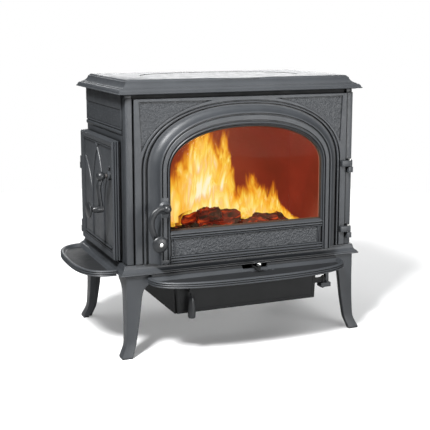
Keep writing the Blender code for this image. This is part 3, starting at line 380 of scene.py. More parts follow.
def smooth_line(points, steps=8):
    """Points on a smooth curve through the given ones."""
    line = []
    padded = [points[0]] + list(points) + [points[-1]]
    for before, start, end, after in zip(padded, padded[1:], padded[2:], padded[3:]):
        for step in range(steps):
            share = step / steps
            square, cube = share**2, share**3
            bend = (2 * start) + (end - before) * share + (2 * before - 5 * start + 4 * end - after) * square
            line.append(0.5 * (bend + (3 * start - before - 3 * end + after) * cube))
    line.append(points[-1].copy())
    return line


def add_bar(bm, points, radii, facing=(0, 1, 0), sides=14, steps=8):
    """A rounded bar along a smooth line; radii is (in the bend's plane, along facing) at each point."""
    line = smooth_line([Vector(point) for point in points], steps)
    sizes = smooth_line([Vector((wide, thick, 0)) for wide, thick in radii], steps)
    depth = Vector(facing)
    sections = []
    for index, point in enumerate(line):
        ahead = line[min(index + 1, len(line) - 1)] - line[max(index - 1, 0)]
        across = depth.cross(ahead).normalized()
        thick = ahead.cross(across).normalized()
        ring = []
        for step in range(sides):
            angle = 2 * pi * step / sides
            ring.append(point + across * (sizes[index].x * cos(angle)) + thick * (sizes[index].y * sin(angle)))
        sections.append(ring)
    add_loft(bm, sections)


def rounded_corner(turn, power):
    """A point (across, up) on the upper half of a superellipse of half width and rise 1."""
    across = abs(cos(turn)) ** (2 / power) * (1 if cos(turn) > 0 else -1)
    return across, max(sin(turn), 0.0) ** (2 / power)


def arch(half_width, rise, bottom, y, power=2.25, steps=72):
    """A closed outline in the plane of the front: straight legs under a flat basket arch."""
    outline = [Vector((-half_width, y, bottom))]
    for step in range(steps + 1):
        across, up = rounded_corner(pi - pi * step / steps, power)
        outline.append(Vector((half_width * across, y, ARCH_SPRING + rise * up)))
    outline.append(Vector((half_width, y, bottom)))
    return outline


def rect(x0, x1, y0, y1, z):
    return [(x0, y0, z), (x1, y0, z), (x1, y1, z), (x0, y1, z)]


def bowed(half_length, reach, inset, z, back=0.0, steps=56, power=2.8):
    """Half of a rounded outline as (along, outward, z), drawn in from the edge by inset."""
    outline = []
    for step in range(steps + 1):
        along, out = rounded_corner(pi * step / steps, power)
        outline.append(((half_length - inset) * along, back + (reach - inset - back) * out, z))
    return outline


def add_plate(bm, loops, y, thickness, edge=0.0012):
    """A flat plate in the front's plane with holes, from outlines of (x, z), its edges rounded."""
    curve = bpy.data.curves.new("plate_outline", "CURVE")
    curve.dimensions = "2D"
    curve.fill_mode = "BOTH"
    curve.extrude = thickness / 2 - edge
    curve.bevel_depth = edge
    curve.bevel_resolution = 2
    curve.offset = -edge
    for loop in loops:
        spline = curve.splines.new("POLY")
        spline.points.add(len(loop) - 1)
        for knot, (x, z) in zip(spline.points, loop):
            knot.co = (x, z, 0, 1)
        spline.use_cyclic_u = True
    guide = bpy.data.objects.new("plate_outline", curve)
    bpy.context.scene.collection.objects.link(guide)
    mesh = bpy.data.meshes.new_from_object(guide.evaluated_get(bpy.context.evaluated_depsgraph_get()))
    bpy.data.objects.remove(guide, do_unlink=True)
    mesh.transform(Matrix.Translation((0, y + thickness / 2, 0)) @ Matrix.Rotation(pi / 2, 4, "X"))
    bm.from_mesh(mesh)
    bpy.data.meshes.remove(mesh)


def add_grid(bm, columns, rows, corner):
    """A sheet of faces over the corners that corner(column, row) places."""
    grid = []
    for column in range(columns + 1):
        grid.append([corner(column, row) for row in range(rows + 1)])
    for column in range(columns):
        for row in range(rows):
            pair = (grid[column][row], grid[column + 1][row])
            bm.faces.new((*pair, grid[column + 1][row + 1], grid[column][row + 1]))
    return grid


def add_field(bm, low, high, face_axis, outward, pitch=0.0022, depth=0.0009, seed=0.0):
    """A block whose face along face_axis is a fine grid with hammer marks; outward is the side that shows."""
    axes = [axis for axis in range(3) if axis != face_axis]
    counts = [max(2, round((high[axis] - low[axis]) / pitch)) for axis in axes]
    front = high[face_axis] if outward > 0 else low[face_axis]
    back = low[face_axis] if outward > 0 else high[face_axis]

    def corner(*place):
        point = Vector((0, 0, 0))
        point[face_axis] = front
        for axis, step, count in zip(axes, place, counts):
            point[axis] = low[axis] + (high[axis] - low[axis]) * step / count
        mark = noise.noise(point * 190 + Vector((seed, 0, 0))) + 0.5 * noise.noise(point * 400)
        point[face_axis] += depth * mark
        return bm.verts.new(point)

    grid = add_grid(bm, *counts, corner)
    rim = [row[0] for row in grid] + grid[-1][1:] + [row[-1] for row in grid[-2::-1]] + grid[0][-2:0:-1]
    behind = []
    for edge_corner in rim:
        point = edge_corner.co.copy()
        point[face_axis] = back
        behind.append(bm.verts.new(point))
    for index in range(len(rim)):
        after = (index + 1) % len(rim)
        bm.faces.new((rim[index], rim[after], behind[after], behind[index]))
    bm.faces.new(behind)


def placed_object(name, bm):
    """An object made from bm, carried into the frame's coordinates."""
    bmesh.ops.recalc_face_normals(bm, faces=bm.faces)
    bm.transform(Matrix.Translation(MIDDLE))
    mesh = bpy.data.meshes.new(name)
    bm.to_mesh(mesh)
    bm.free()
    made = bpy.data.objects.new(name, mesh)
    bpy.context.scene.collection.objects.link(made)
    return made


def shade(mesh, sharp_from):
    mesh.shade_smooth()
    mesh.set_sharp_from_angle(angle=radians(sharp_from))


def piece(name, bm, surface, body, stands_for=(), smooth=32):
    """Make bm a piece of the stove that rides on a body; edges sharper than smooth degrees stay sharp."""
    made = placed_object(name, bm)
    made.data.materials.append(surface)
    shade(made.data, smooth)
    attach(made, body)
    if stands_for:
        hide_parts(*stands_for)
    return made


# ---------------- top, base, walls


def cove_points(start, end, hollow, steps=6):
    """Points of an arc from start to end, each (inset, height), bowed sideways by hollow."""
    start, end = Vector(start), Vector(end)
    along = end - start
    side = Vector((-along.y, along.x)).normalized()
    line = []
    for step in range(steps + 1):
        share = step / steps
        line.append(tuple(start + along * share + side * (hollow * 4 * share * (1 - share))))
    return line


def moulded_sections(profile, low, high):
    """Rectangles round a plate; profile is (inset from the lip, height above the plate's foot)."""
    sections = []
    for inset, up in profile:
        sections.append(rect(low.x + inset, high.x - inset, low.y + inset, high.y - inset, low.z + up))
    return sections


def make_top_plate():
    """The moulded top plate and, in a narrow seam, its oval cover."""
    thick = LIP_HIGH.z - LIP_LOW.z
    profile = mm((40, 29), (40, 0), (16, 0), (12, 1.5), (1, 2.2), (0, 3.2), (0.6, 5))
    profile += cove_points((0.003, 0.0062), (0.0085, 0.0145), 0.0012)
    profile += mm((11.5, 15.2), (13.5, 16.2), (14.2, 17.5))
    profile += cove_points((0.0165, 0.0182), (0.0305, 0.0345), -0.003, 8)
    profile += [(0.0325, 0.0353), (0.0345, 0.0375), (0.0365, thick - 0.0008), (0.0385, thick)]
    bm = bmesh.new()
    add_loft(bm, moulded_sections(profile, LIP_LOW, LIP_HIGH))
    casting = piece("top_plate_casting", bm, IRON, "stove", ["top_plate"])
    centre_y, half_x, half_y = -0.025, 0.243, 0.167
    seam, steps = 0.0016, 96

    def ellipse(grow, depth):
        ring = []
        for step in range(steps):
            turn = 2 * pi * step / steps
            y = centre_y + (half_y + grow) * sin(turn)
            ring.append(((half_x + grow) * cos(turn), y, LIP_HIGH.z - depth))
        return ring

    cutter = bmesh.new()
    add_loft(cutter, [ellipse(seam, 0.006), ellipse(seam, -0.01)])
    cut_with(casting, cutter)
    cover = bmesh.new()
    add_loft(cover, [ellipse(-seam / 2, 0.0055), ellipse(-seam / 2, 0.0022), ellipse(-0.0022, 0.001)])
    piece("top_oval_plate", cover, IRON, "stove")


def cut_with(target, cutter_bm):
    """Cut a temporary shape out of a finished piece."""
    cutter = placed_object("cutter", cutter_bm)
    boolean = target.modifiers.new("cut", "BOOLEAN")
    boolean.operation = "DIFFERENCE"
    boolean.object = cutter
    bpy.context.view_layer.update()
    result = bpy.data.meshes.new_from_object(target.evaluated_get(bpy.context.evaluated_depsgraph_get()))
    target.modifiers.clear()
    target.data = result
    bpy.data.objects.remove(cutter, do_unlink=True)
    shade(result, 32)


def make_base_plate():
    """The moulded base, open over the ash pan and along the air lever's travel."""
    thick = BASE_HIGH.z - BASE_LOW.z
    profile = mm((40, 18), (40, 0), (6, 0), (2, 1), (0, 3), (0.4, 5.2), (2.2, 6.6))
    profile += mm((3.4, 7), (3.6, 9), (5.5, 10.2))
    profile += cove_points((0.0062, 0.0108), (0.0125, 0.0215), -0.0016)
    profile += [(0.0132, 0.0225), (0.0134, 0.0245), (0.0142, 0.0252), (0.0146, thick)]
    bm = bmesh.new()
    add_loft(bm, moulded_sections(profile, BASE_LOW, BASE_HIGH))
    casting = piece("base_casting", bm, IRON, "stove", ["base_plate"])
    ash_hole = (-0.138, -0.078, 0.138, 0.078, 0.004)
    lever_slot = (-0.038, -0.176, 0.082, -0.156, 0.003)
    for x0, y0, x1, y1, edge in (ash_hole, lever_slot):
        cutter = bmesh.new()
        add_box(cutter, (x0, y0, BASE_LOW.z), (x1, y1, BASE_HIGH.z + 0.01), edge)
        cut_with(casting, cutter)


def make_side_relief():
    """Strips and mouldings of the side walls round hammered fields; the right side has one field more."""
    upper_field, lower_field = (0.641, 0.689), (0.29, 0.6)
    front, rear, edge = -0.179, 0.181, 0.001
    for word, side, places in (("left", LEFT, [upper_field]), ("right", RIGHT, [lower_field, upper_field])):
        face = side * BODY_HALF
        strip = sorted((face - side * 0.001, face + side * 0.003))
        field = sorted((face - side * 0.002, face + side * 0.0006))
        frame_bm = bmesh.new()
        field_bm = bmesh.new()
        profile = mm((730.5, -1), (730.5, 2.6), (729, 3.2), (692.5, 3.2), (691, 2.6))
        add_run(frame_bm, face, side, front, rear, profile + [(0.6905, -0.001)])
        profile = mm((640, -1), (639.8, 2), (638.8, 3), (636.2, 3), (635.2, 2))
        profile += mm((635, 0.4), (633.2, 0.4), (632.8, 2.4), (630, 3.8), (626.2, 4))
        profile += [(0.6232, 0.0028), (0.6205, 0.001), (0.619, -0.001)]
        add_run(frame_bm, face, side, front, rear, profile)
        for low_z, high_z in places:
            for start, end in ((front, front + 0.0085), (rear - 0.0085, rear)):
                add_box(frame_bm, (strip[0], start, low_z - 0.002), (strip[1], end, high_z + 0.003), edge)
            low, high = (field[0], front + 0.008, low_z), (field[1], rear - 0.008, high_z)
            add_field(field_bm, low, high, 0, side, pitch=0.003)
            if (low_z, high_z) == lower_field:
                for z in lower_field:
                    low, high = (strip[0], front + 0.004, z - 0.004), (strip[1], rear - 0.004, z + 0.004)
                    add_box(frame_bm, low, high, edge)
        piece(f"side_moulding_{word}", frame_bm, IRON, "stove")
        piece(f"side_hammered_field_{word}", field_bm, HAMMERED, "stove")


def add_run(bm, face, side, start, end, profile):
    """A straight moulding along a side wall; profile is (height, how far it stands out)."""
    add_loft(bm, [[(face + side * out, y, z) for z, out in profile] for y in (start, end)])


def pin_line(node):
    """The upright axis of a pin or a grip: x, y, the height of its foot and of its top."""
    low, high = own_box(node)
    return (low.x + high.x) / 2, (low.y + high.y) / 2, low.z, high.z


def add_eye(bm, x, y, foot, radius, height, sides=32):
    """A hinge eye with softened rims."""
    soft, rim = 0.0008, 0.001
    profile = [(radius - soft, 0), (radius, rim), (radius, height - rim), (radius - soft, height)]
    add_turned(bm, profile, (x, y, foot), "Z", sides)


def make_posts():
    """The front posts, with rounded edges; the right one holds the lower halves of the door's hinges."""
    low, high = own_box("front_post_left")
    shoulder = high.z - 0.0085
    for word, low_x, high_x in (("left", low.x, high.x), ("right", -high.x, -low.x)):
        bm = bmesh.new()
        add_box(bm, (low_x, low.y, low.z), (high_x, high.y, shoulder), 0.0024, 3)
        add_box(bm, (low_x + 0.001, low.y + 0.005, shoulder - 0.004), (high_x - 0.001, high.y, high.z), 0.0008)
        for place in ("lower", "upper") if word == "right" else ():
            x, y, pin_foot, _ = pin_line(f"front_hinge_pin_{place}")
            foot = pin_foot + HINGE_PARTING - 0.018
            height = 0.017
            far = (x + 0.008, BODY_FRONT + 0.004, foot + height)
            add_box(bm, (DOOR_HALF + 0.004, y - 0.008, foot), far, 0.0015)
            add_eye(bm, x, y, foot, 0.0082, height)
        piece(f"front_post_casting_{word}", bm, IRON, "stove", [f"front_post_{word}"])


# ---------------- legs and shelves


def make_leg(word, side, depth_side):
    """A cabriole leg: two wings under the base that close to a slim ankle, and a foot turned out."""
    corner_x = side * (LIP_HIGH.x - 0.018)
    corner_y = BODY_FRONT - 0.008 if depth_side < 0 else BODY_BACK + 0.026
    top = BASE_LOW.z - 0.0003
    keys = [(top, 0.08, 0.0), (top - 0.017, 0.08, 0.0), (top - 0.02, 0.0785, 0.0), (top - 0.0235, 0.07, 0.0)]
    keys += [(top - 0.0285, 0.0625, 0.0), (top - 0.036, 0.0545, 0.0), (top - 0.047, 0.048, 0.0)]
    keys += [(top - 0.062, 0.0445, 0.0)]
    keys += mm((145, 41.5, 0.3), (105, 37.5, 1.2), (72, 33.5, 2.6))
    keys += [(0.044, 0.0305, 0.0045), (0.029, 0.0305, 0.0085), (0.016, 0.0315, 0.0145), (0.007, 0.0325, 0.019)]
    keys += [(0.003, 0.032, 0.0199), (0.0, 0.03, 0.019)]
    rows = smooth_line([Vector(key) for key in keys[1:]], 4)
    sections = []
    for z, size, outward in [keys[0]] + [tuple(row) for row in rows]:
        x_out = corner_x + side * outward
        y_out = corner_y + depth_side * outward * 0.6
        wing = min(0.62 * size, 0.0168)
        soft = min(0.0012, 0.1 * size)
        inner = max(size * 0.42, wing)

        def at(inward_x, inward_y, z=z, x_out=x_out, y_out=y_out):
            return (x_out - side * inward_x, y_out - depth_side * inward_y, max(z, 0.0))

        ring = [at(soft, 0), at(0.3 * soft, 0.3 * soft), at(0, soft), at(0, size - soft), at(soft, size)]
        ring += [at(wing - soft, size), at(wing, size - soft), at(wing, inner), at(inner, wing)]
        ring += [at(size - soft, wing), at(size, wing - soft), at(size, soft), at(size - soft, 0)]
        sections.append(ring)
    bm = bmesh.new()
    add_loft(bm, sections)
    piece(f"leg_casting_{word}", bm, IRON, "stove", [f"leg_{word}"], smooth=38)


def reeds(count, pitch, depth):
    """Points over a row of rounded reeds: which reed, how deep below its crown, how far along the row."""
    for reed in range(count):
        for share in (0.02, 0.12, 0.3, 0.5, 0.7, 0.88, 0.98):
            yield reed, depth * (1 - sin(pi * share) ** 0.7), (reed + share) * pitch


def shelf_profile(z):
    """Rim of a tray as (inset, height, distance from the back): reeds, a rounded top, a cove to the floor."""
    height, count = 0.018, 3
    top = z + height
    pitch = (height - 0.001) / count
    profile = [(0.006, z, 0.0), (0.0035, z + 0.0004, 0.0)]
    profile += [(depth, z + 0.0006 + along, 0.0) for _, depth, along in reeds(count, pitch, 0.0034)]
    profile += [(0.0035, top, 0.0006), (0.0075, top, 0.0045), (0.0095, top - 0.0012, 0.0065)]
    profile += [(0.0115, top - 0.004, 0.0085), (0.014, top - 0.0078, 0.011), (0.018, top - 0.0105, 0.0145)]
    return profile


def make_shelf(name, place, half_length, reach, z, node, floor_surface):
    sections = []
    for inset, height, back in shelf_profile(z):
        sections.append([place(point) for point in bowed(half_length, reach, inset, height, back)])
    bm = bmesh.new()
    add_loft(bm, sections)
    casting = piece(name, bm, IRON, "stove", [node])
    floor_z = z + 0.0079
    dish = bmesh.new()
    inner = [place(point) for point in bowed(half_length, reach, 0.0162, floor_z - 0.0006, 0.013)]
    lifted = [place(point) for point in bowed(half_length, reach, 0.0172, floor_z + 0.0002, 0.014)]
    add_loft(dish, [inner, lifted])
    piece(name + "_floor", dish, floor_surface, "stove")
    return casting


def make_shelves():
    """Both trays, the front one cut round the air lever, with its upstand and the lever's three marks."""
    side_edge = LIP_LOW.x - 0.0003
    front_edge = BODY_FRONT - LIP_FRONT - 0.008
    side_low = own_box("side_shelf")[0]
    front_low = own_box("front_shelf")[0]

    def at_side(point):
        return (side_edge - point[1], point[0], point[2])

    def at_front(point):
        return (point[0], front_edge - point[1], point[2])

    make_shelf("side_tray", at_side, 0.182, side_edge - side_low.x, side_low.z, "side_shelf", DARK_TRAY)
    reach = front_edge - front_low.y
    tray = make_shelf("front_tray", at_front, 0.302, reach, front_low.z, "front_shelf", DARK_TRAY)
    lever_low, lever_high = own_box("air_lever")
    middle = (lever_low.x + lever_high.x) / 2
    notch_half = 0.038
    notch = bmesh.new()
    low = (middle - notch_half, front_edge - 0.017, lever_low.z - 0.001)
    add_box(notch, low, (middle + notch_half, front_edge + 0.01, 0.26), 0.001)
    cut_with(tray, notch)
    upstand = bmesh.new()
    half, beside, top, ledge = 0.29, notch_half + 0.0015, 0.2362, 0.2336
    for x0, x1 in ((-half, middle - beside), (middle + beside, half)):
        add_box(upstand, (x0, front_edge - 0.0045, front_low.z + 0.008), (x1, front_edge - 0.0006, top), 0.0008)
        add_box(upstand, (x0, front_edge - 0.003, ledge), (x1, BASE_LOW.y - 0.0004, top), 0.0006)
    piece("front_tray_upstand", upstand, DARK_TRAY, "stove")
    marks = bmesh.new()
    for start, end in ((-0.02, -0.009), (0.002, 0.033), (0.044, 0.055)):
        low = (middle + start, front_edge - 0.0252, front_low.z + 0.007)
        add_box(marks, low, (middle + end, front_edge - 0.0226, front_low.z + 0.01), 0.0008)
    piece("air_setting_marks", marks, IRON, "stove")


# ---------------- front door


def arch_frame_rings():
    """The proud arched frame from its outer groove, over the cove and the beads, into the window and back.

    A ring is (half width, rise, bottom, how far behind the door's face).
    """
    beads = mm((309.4, 188.7, 9), (309.2, 188.5, 5.8), (305.8, 186.2, 5.6), (305, 185.6, -0.4))
    beads += mm((303.6, 184.6, -1.8), (300.6, 182.6, -1.8), (299.2, 181.7, -0.4))
    beads += mm((298.4, 181.2, 6), (293.8, 179.4, 6))
    cove_start, cove_end, cove_steps = (0.2918, 0.1786), (0.2665, 0.1592), 10
    for step in range(cove_steps + 1):
        turn = step / cove_steps * pi / 2
        share = 1 - sin(turn)
        half, rise = (end + (start - end) * share for start, end in zip(cove_start, cove_end))
        beads.append((half, rise, -0.001 - 0.0262 * (1 - cos(turn))))
    beads += mm((265.8, 158.6, -28.7), (264.2, 157, -29.9), (262.2, 154.9, -29.7))
    beads += mm((261.2, 153.8, -28.4), (260.6, 153.1, -24), (258.4, 150.3, -24))
    beads += mm((257.8, 149.6, -27.8), (256.6, 148.2, -28.7), (247.4, 136.4, -28.7))
    beads += mm((246.4, 135.2, -27.8), (245.8, 134.4, -24), (243.8, 131.6, -24))
    beads += mm((243, 130.5, -28.2), (241.4, 128.3, -29.6), (240, 126.5, -29.2))
    beads += mm((238.8, 124.9, -27.6), (238.2, 124, -19.5))
    rings = [(half, rise, DOOR_BOTTOM, out) for half, rise, out in beads]
    sill, rebate = WINDOW_BOTTOM - 0.004, DOOR_BOTTOM + 0.01
    rings += [(0.2372, 0.1226, sill, -0.0195), (0.2366, 0.1216, sill, -0.0262)]
    rings += [(0.2356, 0.1196, sill + 0.001, -0.0252), (0.2344, 0.1176, WINDOW_BOTTOM - 0.001, -0.0222)]
    rings += [(WINDOW_HALF, WINDOW_RISE, WINDOW_BOTTOM, -0.0205), (0.254, 0.146, rebate, -0.0205)]
    return rings + [(0.256, 0.148, rebate, 0.0), (0.256, 0.148, rebate, 0.009)]


def spandrel(side):
    """Outline of the recessed triangle in the door's upper corner, as (x, z)."""
    outer_x, top_z, start_z = 0.3145, 0.7125, 0.577
    half, rise, power, steps = 0.3195, 0.2, 2.1, 26
    points = [(side * outer_x, top_z)]
    for step in range(steps + 1):
        z = start_z + (top_z - 0.0012 - start_z) * sin(step / steps * pi / 2)
        up = ((z - ARCH_SPRING) / rise) ** power
        x = half * max(0.0, 1 - up) ** (1 / power)
        points.append((side * min(x, outer_x - 0.0005), z))
    return points


def make_front_door():
    """The door casting, its hammered panel under the window and the hammered fields in its upper corners."""
    bm = bmesh.new()
    outline = [(DOOR_HALF, DOOR_BOTTOM), (DOOR_HALF, DOOR_TOP)]
    outline += [(-DOOR_HALF, DOOR_TOP), (-DOOR_HALF, DOOR_BOTTOM)]
    outline += [(point.x, point.z) for point in arch(0.3095, 0.1888, DOOR_BOTTOM, 0)]
    add_plate(bm, [outline, spandrel(LEFT), spandrel(RIGHT)], DOOR_FACE, SLAB)
    sections = [arch(half, rise, low, DOOR_FACE + out) for half, rise, low, out in arch_frame_rings()]
    add_loft(bm, sections, around=True)
    add_lower_mouldings(bm)
    add_handle_pad(bm)
    add_hinge_straps(bm)
    add_turned(bm, [(0.011, 0), (0.011, 0.037)], (HANDLE.x, DOOR_LOW.y + 0.002, HANDLE.z), "Y", 32)
    piece("front_door_casting", bm, IRON, "front_door", ["front_door_frame"])
    panel = bmesh.new()
    half = 0.233
    low, high = (-half, DOOR_FACE - 0.0245, 0.2862), (half, DOOR_FACE - 0.02, 0.3318)
    add_field(panel, low, high, 1, -1, depth=0.0011, seed=9.0)
    piece("front_door_hammered_panel", panel, HAMMERED, "front_door")
    fields = bmesh.new()
    for side in (LEFT, RIGHT):
        x0, x1 = sorted((side * 0.118, side * 0.318))
        low, high = (x0, DOOR_FACE + 0.0042, 0.566), (x1, DOOR_BACK - 0.001, 0.7155)
        add_field(fields, low, high, 1, -1, seed=3.0 * side)
    corners = piece("front_door_hammered_corners", fields, HAMMERED, "front_door")
    opening = bmesh.new()
    add_loft(opening, [arch(0.302, 0.1832, 0.3, y) for y in (DOOR_FACE - 0.01, DOOR_BACK + 0.01)])
    cut_with(corners, opening)


def add_lower_mouldings(bm):
    """The straight mouldings below the window: sill beads, the panel's frame and the door's foot."""
    half = 0.2372
    face = DOOR_FACE
    profile = mm((355.5, 20.5), (354.5, 22.8), (350.5, 27.2), (349, 28.4), (347.4, 28.6))
    profile += mm((346.6, 26.8), (346, 23.5), (344.6, 23.5), (343.8, 27.6), (342.2, 29.4))
    profile += mm((340.6, 29.6), (339.4, 28.2), (338.8, 23.5), (337.4, 23.5), (336.6, 27.8))
    profile += mm((335, 28.8), (333.8, 28.2), (333, 26.2), (332.6, 21.5), (285.4, 21.5))
    profile += mm((285, 26.2), (284, 28.4), (282.5, 29), (280.8, 28.4), (280.2, 23.5))
    profile += mm((278.8, 23.5), (278, 28.2), (276.2, 29.6), (273.8, 29.6), (272.4, 28.2))
    profile += mm((271.6, 23.5), (270.2, 23.5), (269.4, 27.8), (267.8, 29), (266, 28.8))
    profile += mm((265, 27), (264.5, 20))
    sections = [[(x, face - out, z) for z, out in profile] for x in (-half, half)]
    add_loft(bm, sections)
    for edge_x in (-0.2245, 0.2245, 0.23):
        add_box(bm, (edge_x - 0.0016, face - 0.0284, 0.284), (edge_x + 0.0016, face - 0.022, 0.3335), 0.0013, 3)


def add_handle_pad(bm):
    """The plain pads that interrupt the flat band, where the handle turns and at the door's foot."""
    for foot, top in ((HANDLE.z - 0.028, HANDLE.z + 0.028), (0.2655, 0.2775)):
        low = (HANDLE.x - 0.0085, DOOR_FACE - 0.0294, foot)
        add_box(bm, low, (HANDLE.x + 0.0115, DOOR_FACE - 0.022, top), 0.0012)


def add_hinge_straps(bm):
    for place in ("lower", "upper"):
        x, y, pin_foot, _ = pin_line(f"front_hinge_pin_{place}")
        parting = pin_foot + HINGE_PARTING
        add_box(bm, (DOOR_HALF - 0.018, y - 0.008, parting), (x, y + 0.007, parting + 0.018), 0.0018)
        add_eye(bm, x, y, parting, 0.008, 0.018)


def make_front_hinge_pins():
    for place in ("lower", "upper"):
        node = f"front_hinge_pin_{place}"
        x, y, foot, top = pin_line(node)
        height = top - foot
        bm = bmesh.new()
        profile = [(0.002, 0), (0.0035, 0.0015), (0.0035, height - 0.003), (0.0062, height - 0.0029)]
        profile += [(0.0062, height - 0.0012), (0.0045, height + 0.0004), (0.0015, height + 0.001)]
        add_turned(bm, profile, (x, y, foot), "Z", 28)
        piece(f"front_hinge_pin_turned_{place}", bm, BRIGHT, "stove", [node])


def knob_profile(radius=0.0226, height=0.0205):
    """Domed knob as (radius, height) from its neck to its crown."""
    profile = mm((6.8, 0), (6.8, 3.5), (8.5, 6.2), (15, 8.6), (20.5, 10.5))
    profile += [(radius - 0.0004, 0.0122), (radius, 0.0136), (radius - 0.0007, 0.015), (0.019, 0.0172)]
    profile += [(0.0145, 0.0188), (0.0092, 0.0199), (0.004, height)]
    return rounded_profile(profile, 3)


def ball_profile(radius, front, back):
    """A ball flattened where it meets its seat, along its axis from front to back."""
    steps = 14
    profile = []
    for step in range(steps + 1):
        height = front + (back - front) * step / steps
        share = min(1.0, abs(height) / (radius * 1.04))
        profile.append((max(radius * (1 - share**2) ** 0.5, 0.0035), height))
    return profile


def make_front_handle():
    knob_at = Vector((HANDLE.x - 0.027, HANDLE.y, HANDLE.z - HANDLE_DROP))
    bm = bmesh.new()
    points = [HANDLE + Vector((-0.004, 0, 0.001)), HANDLE + Vector((-0.02, -0.002, 0.0015))]
    points += [HANDLE + Vector((-0.036, -0.003, -0.009)), HANDLE + Vector((-0.045, -0.003, -0.026))]
    points += [HANDLE + Vector((-0.046, -0.003, -0.043)), HANDLE + Vector((-0.04, -0.002, -0.064)), knob_at]
    sizes = mm((7.8, 6.2), (8.2, 6), (9.2, 5.6), (9.4, 5.4), (9, 5.4))
    sizes += mm((8, 5.4), (8, 5.4))
    add_bar(bm, points, sizes, sides=18, steps=9)
    add_turned(bm, ball_profile(0.0125, -0.012, 0.01), HANDLE, "Y", 40)
    add_turned(bm, [(0.007, -0.0058), (0.0088, -0.0045), (0.0088, 0.0045), (0.007, 0.0058)], knob_at, "Y", 32)
    piece("front_handle_forging", bm, HANDLE_IRON, "front_handle", ["front_handle_arm"], smooth=50)
    bm = bmesh.new()
    front = [(radius, -height) for radius, height in knob_profile()]
    add_turned(bm, front, (knob_at.x, knob_at.y - 0.0063, knob_at.z), "Y", 56)
    piece("front_handle_mushroom_knob", bm, HANDLE_IRON, "front_handle", ["front_handle_knob"], smooth=60)
    bm = bmesh.new()
    head = mm((2.8, 34), (2.8, 2), (5.6, 1.6), (5.8, 0.2), (5, -1.2), (2.4, -1.8))
    add_turned(bm, head, (knob_at.x, knob_at.y - 0.0282, knob_at.z), "Y", 32)
    piece("front_handle_bolt_turned", bm, BRIGHT, "front_handle", ["front_handle_bolt"], 40)
    bm = bmesh.new()
    seat = mm((18, -0.3), (18.4, -1.4), (17.6, -2.8), (15, -3.6), (14, -5))
    seat += mm((11.8, -6.2), (10, -6.6))
    add_turned(bm, seat, (HANDLE.x, DOOR_LOW.y + 0.001, HANDLE.z), "Y", 48)
    piece("front_handle_seat", bm, IRON, "front_door", ["front_handle_escutcheon"], smooth=45)


# ---------------- side door


def make_side_door():
    """The side door: a reeded edge, a flat rail with a bead, and a sunk panel with tracery."""
    y0, y1 = SIDE_DOOR_Y
    z0, z1 = SIDE_LOW.z, SIDE_HIGH.z
    thick = 0.022
    outer = SIDE_LOW.x + 0.006
    inner = outer + thick
    profile = [(0.0, inner)]
    for reed, depth, along in reeds(3, 0.0066, 0.0036):
        profile.append((depth + 0.0006 * reed, inner - 0.0006 - along))
    profile += [(0.0042, outer + 0.0004), (0.0056, outer), (0.0175, outer + 0.0042), (0.0182, outer + 0.0058)]
    profile += [(0.0194, outer + 0.0058), (0.0202, outer + 0.004), (0.0226, outer + 0.004)]
    profile += [(0.0234, outer + 0.0075), (0.0234, outer + 0.0095), (0.0234, inner)]
    sections = []
    for inset, x in profile:
        corners = rect(y0 + inset, y1 - inset, z0 + inset, z1 - inset, x)
        sections.append([(x, y, z) for y, z, _ in corners])
    bm = bmesh.new()
    add_loft(bm, sections, around=True)
    rail = 0.0225
    low, high = (outer + 0.0072, y0 + rail, z0 + rail), (outer + 0.011, y1 - rail, z1 - rail)
    add_box(bm, low, high, 0.0004, 1)
    add_tracery(bm, outer + 0.0066, y0 + 0.026, y1 - 0.026, z0 + 0.026, z1 - 0.024)
    boss = mm((12, 0), (13.5, 1), (13.5, 6), (12, 27))
    add_turned(bm, boss, (outer - 0.006, SIDE_HANDLE.y, SIDE_HANDLE.z), "X", 36)
    for place in ("lower", "upper"):
        x, y, pin_foot, pin_top = pin_line(f"side_hinge_pin_{place}")
        parting = (pin_foot + pin_top) / 2
        add_box(bm, (x - 0.007, y1 - 0.004, parting), (x + 0.007, y, parting + 0.019), 0.0015)
        add_eye(bm, x, y, parting, 0.0072, 0.019, 28)
    piece("side_door_casting", bm, IRON, "side_door", ["side_door_frame"])


def add_tracery(bm, face, y0, y1, z0, z1):
    """Raised ribs: a sill, two mullions and the arcs that spring from them."""
    middle, mullion, spring = (y0 + y1) / 2, 0.06, 0.4
    arc_radius, arc_steps, outward_end = 0.232, 7, 0.72

    def line(points, radius=0.0034):
        add_bar(bm, [(face, y, z) for y, z in points], [(radius, 0.0038)] * len(points), (1, 0, 0), 10, 6)

    for side in (LEFT, RIGHT):
        start = middle + side * mullion
        edge = y1 - 0.002 if side > 0 else y0 + 0.002
        line([(start, z0), (start, (z0 + spring) / 2), (start, spring)])
        inward = []
        outward = []
        for step in range(arc_steps + 1):
            share = step / arc_steps
            rise = share * (z1 - spring)
            bend = 1 - (max(0.0, 1 - (rise / arc_radius) ** 2)) ** 0.5
            inward.append((start - side * 0.185 * bend, spring + rise))
            if share < outward_end:
                y = start + side * 0.4 * bend
                outward.append((y if side * (edge - y) > 0 else edge, spring + rise))
        line(inward)
        line(outward)
    line([(y0 + 0.004, z0 + 0.004), (middle, z0 + 0.004), (y1 - 0.004, z0 + 0.004)], 0.0022)


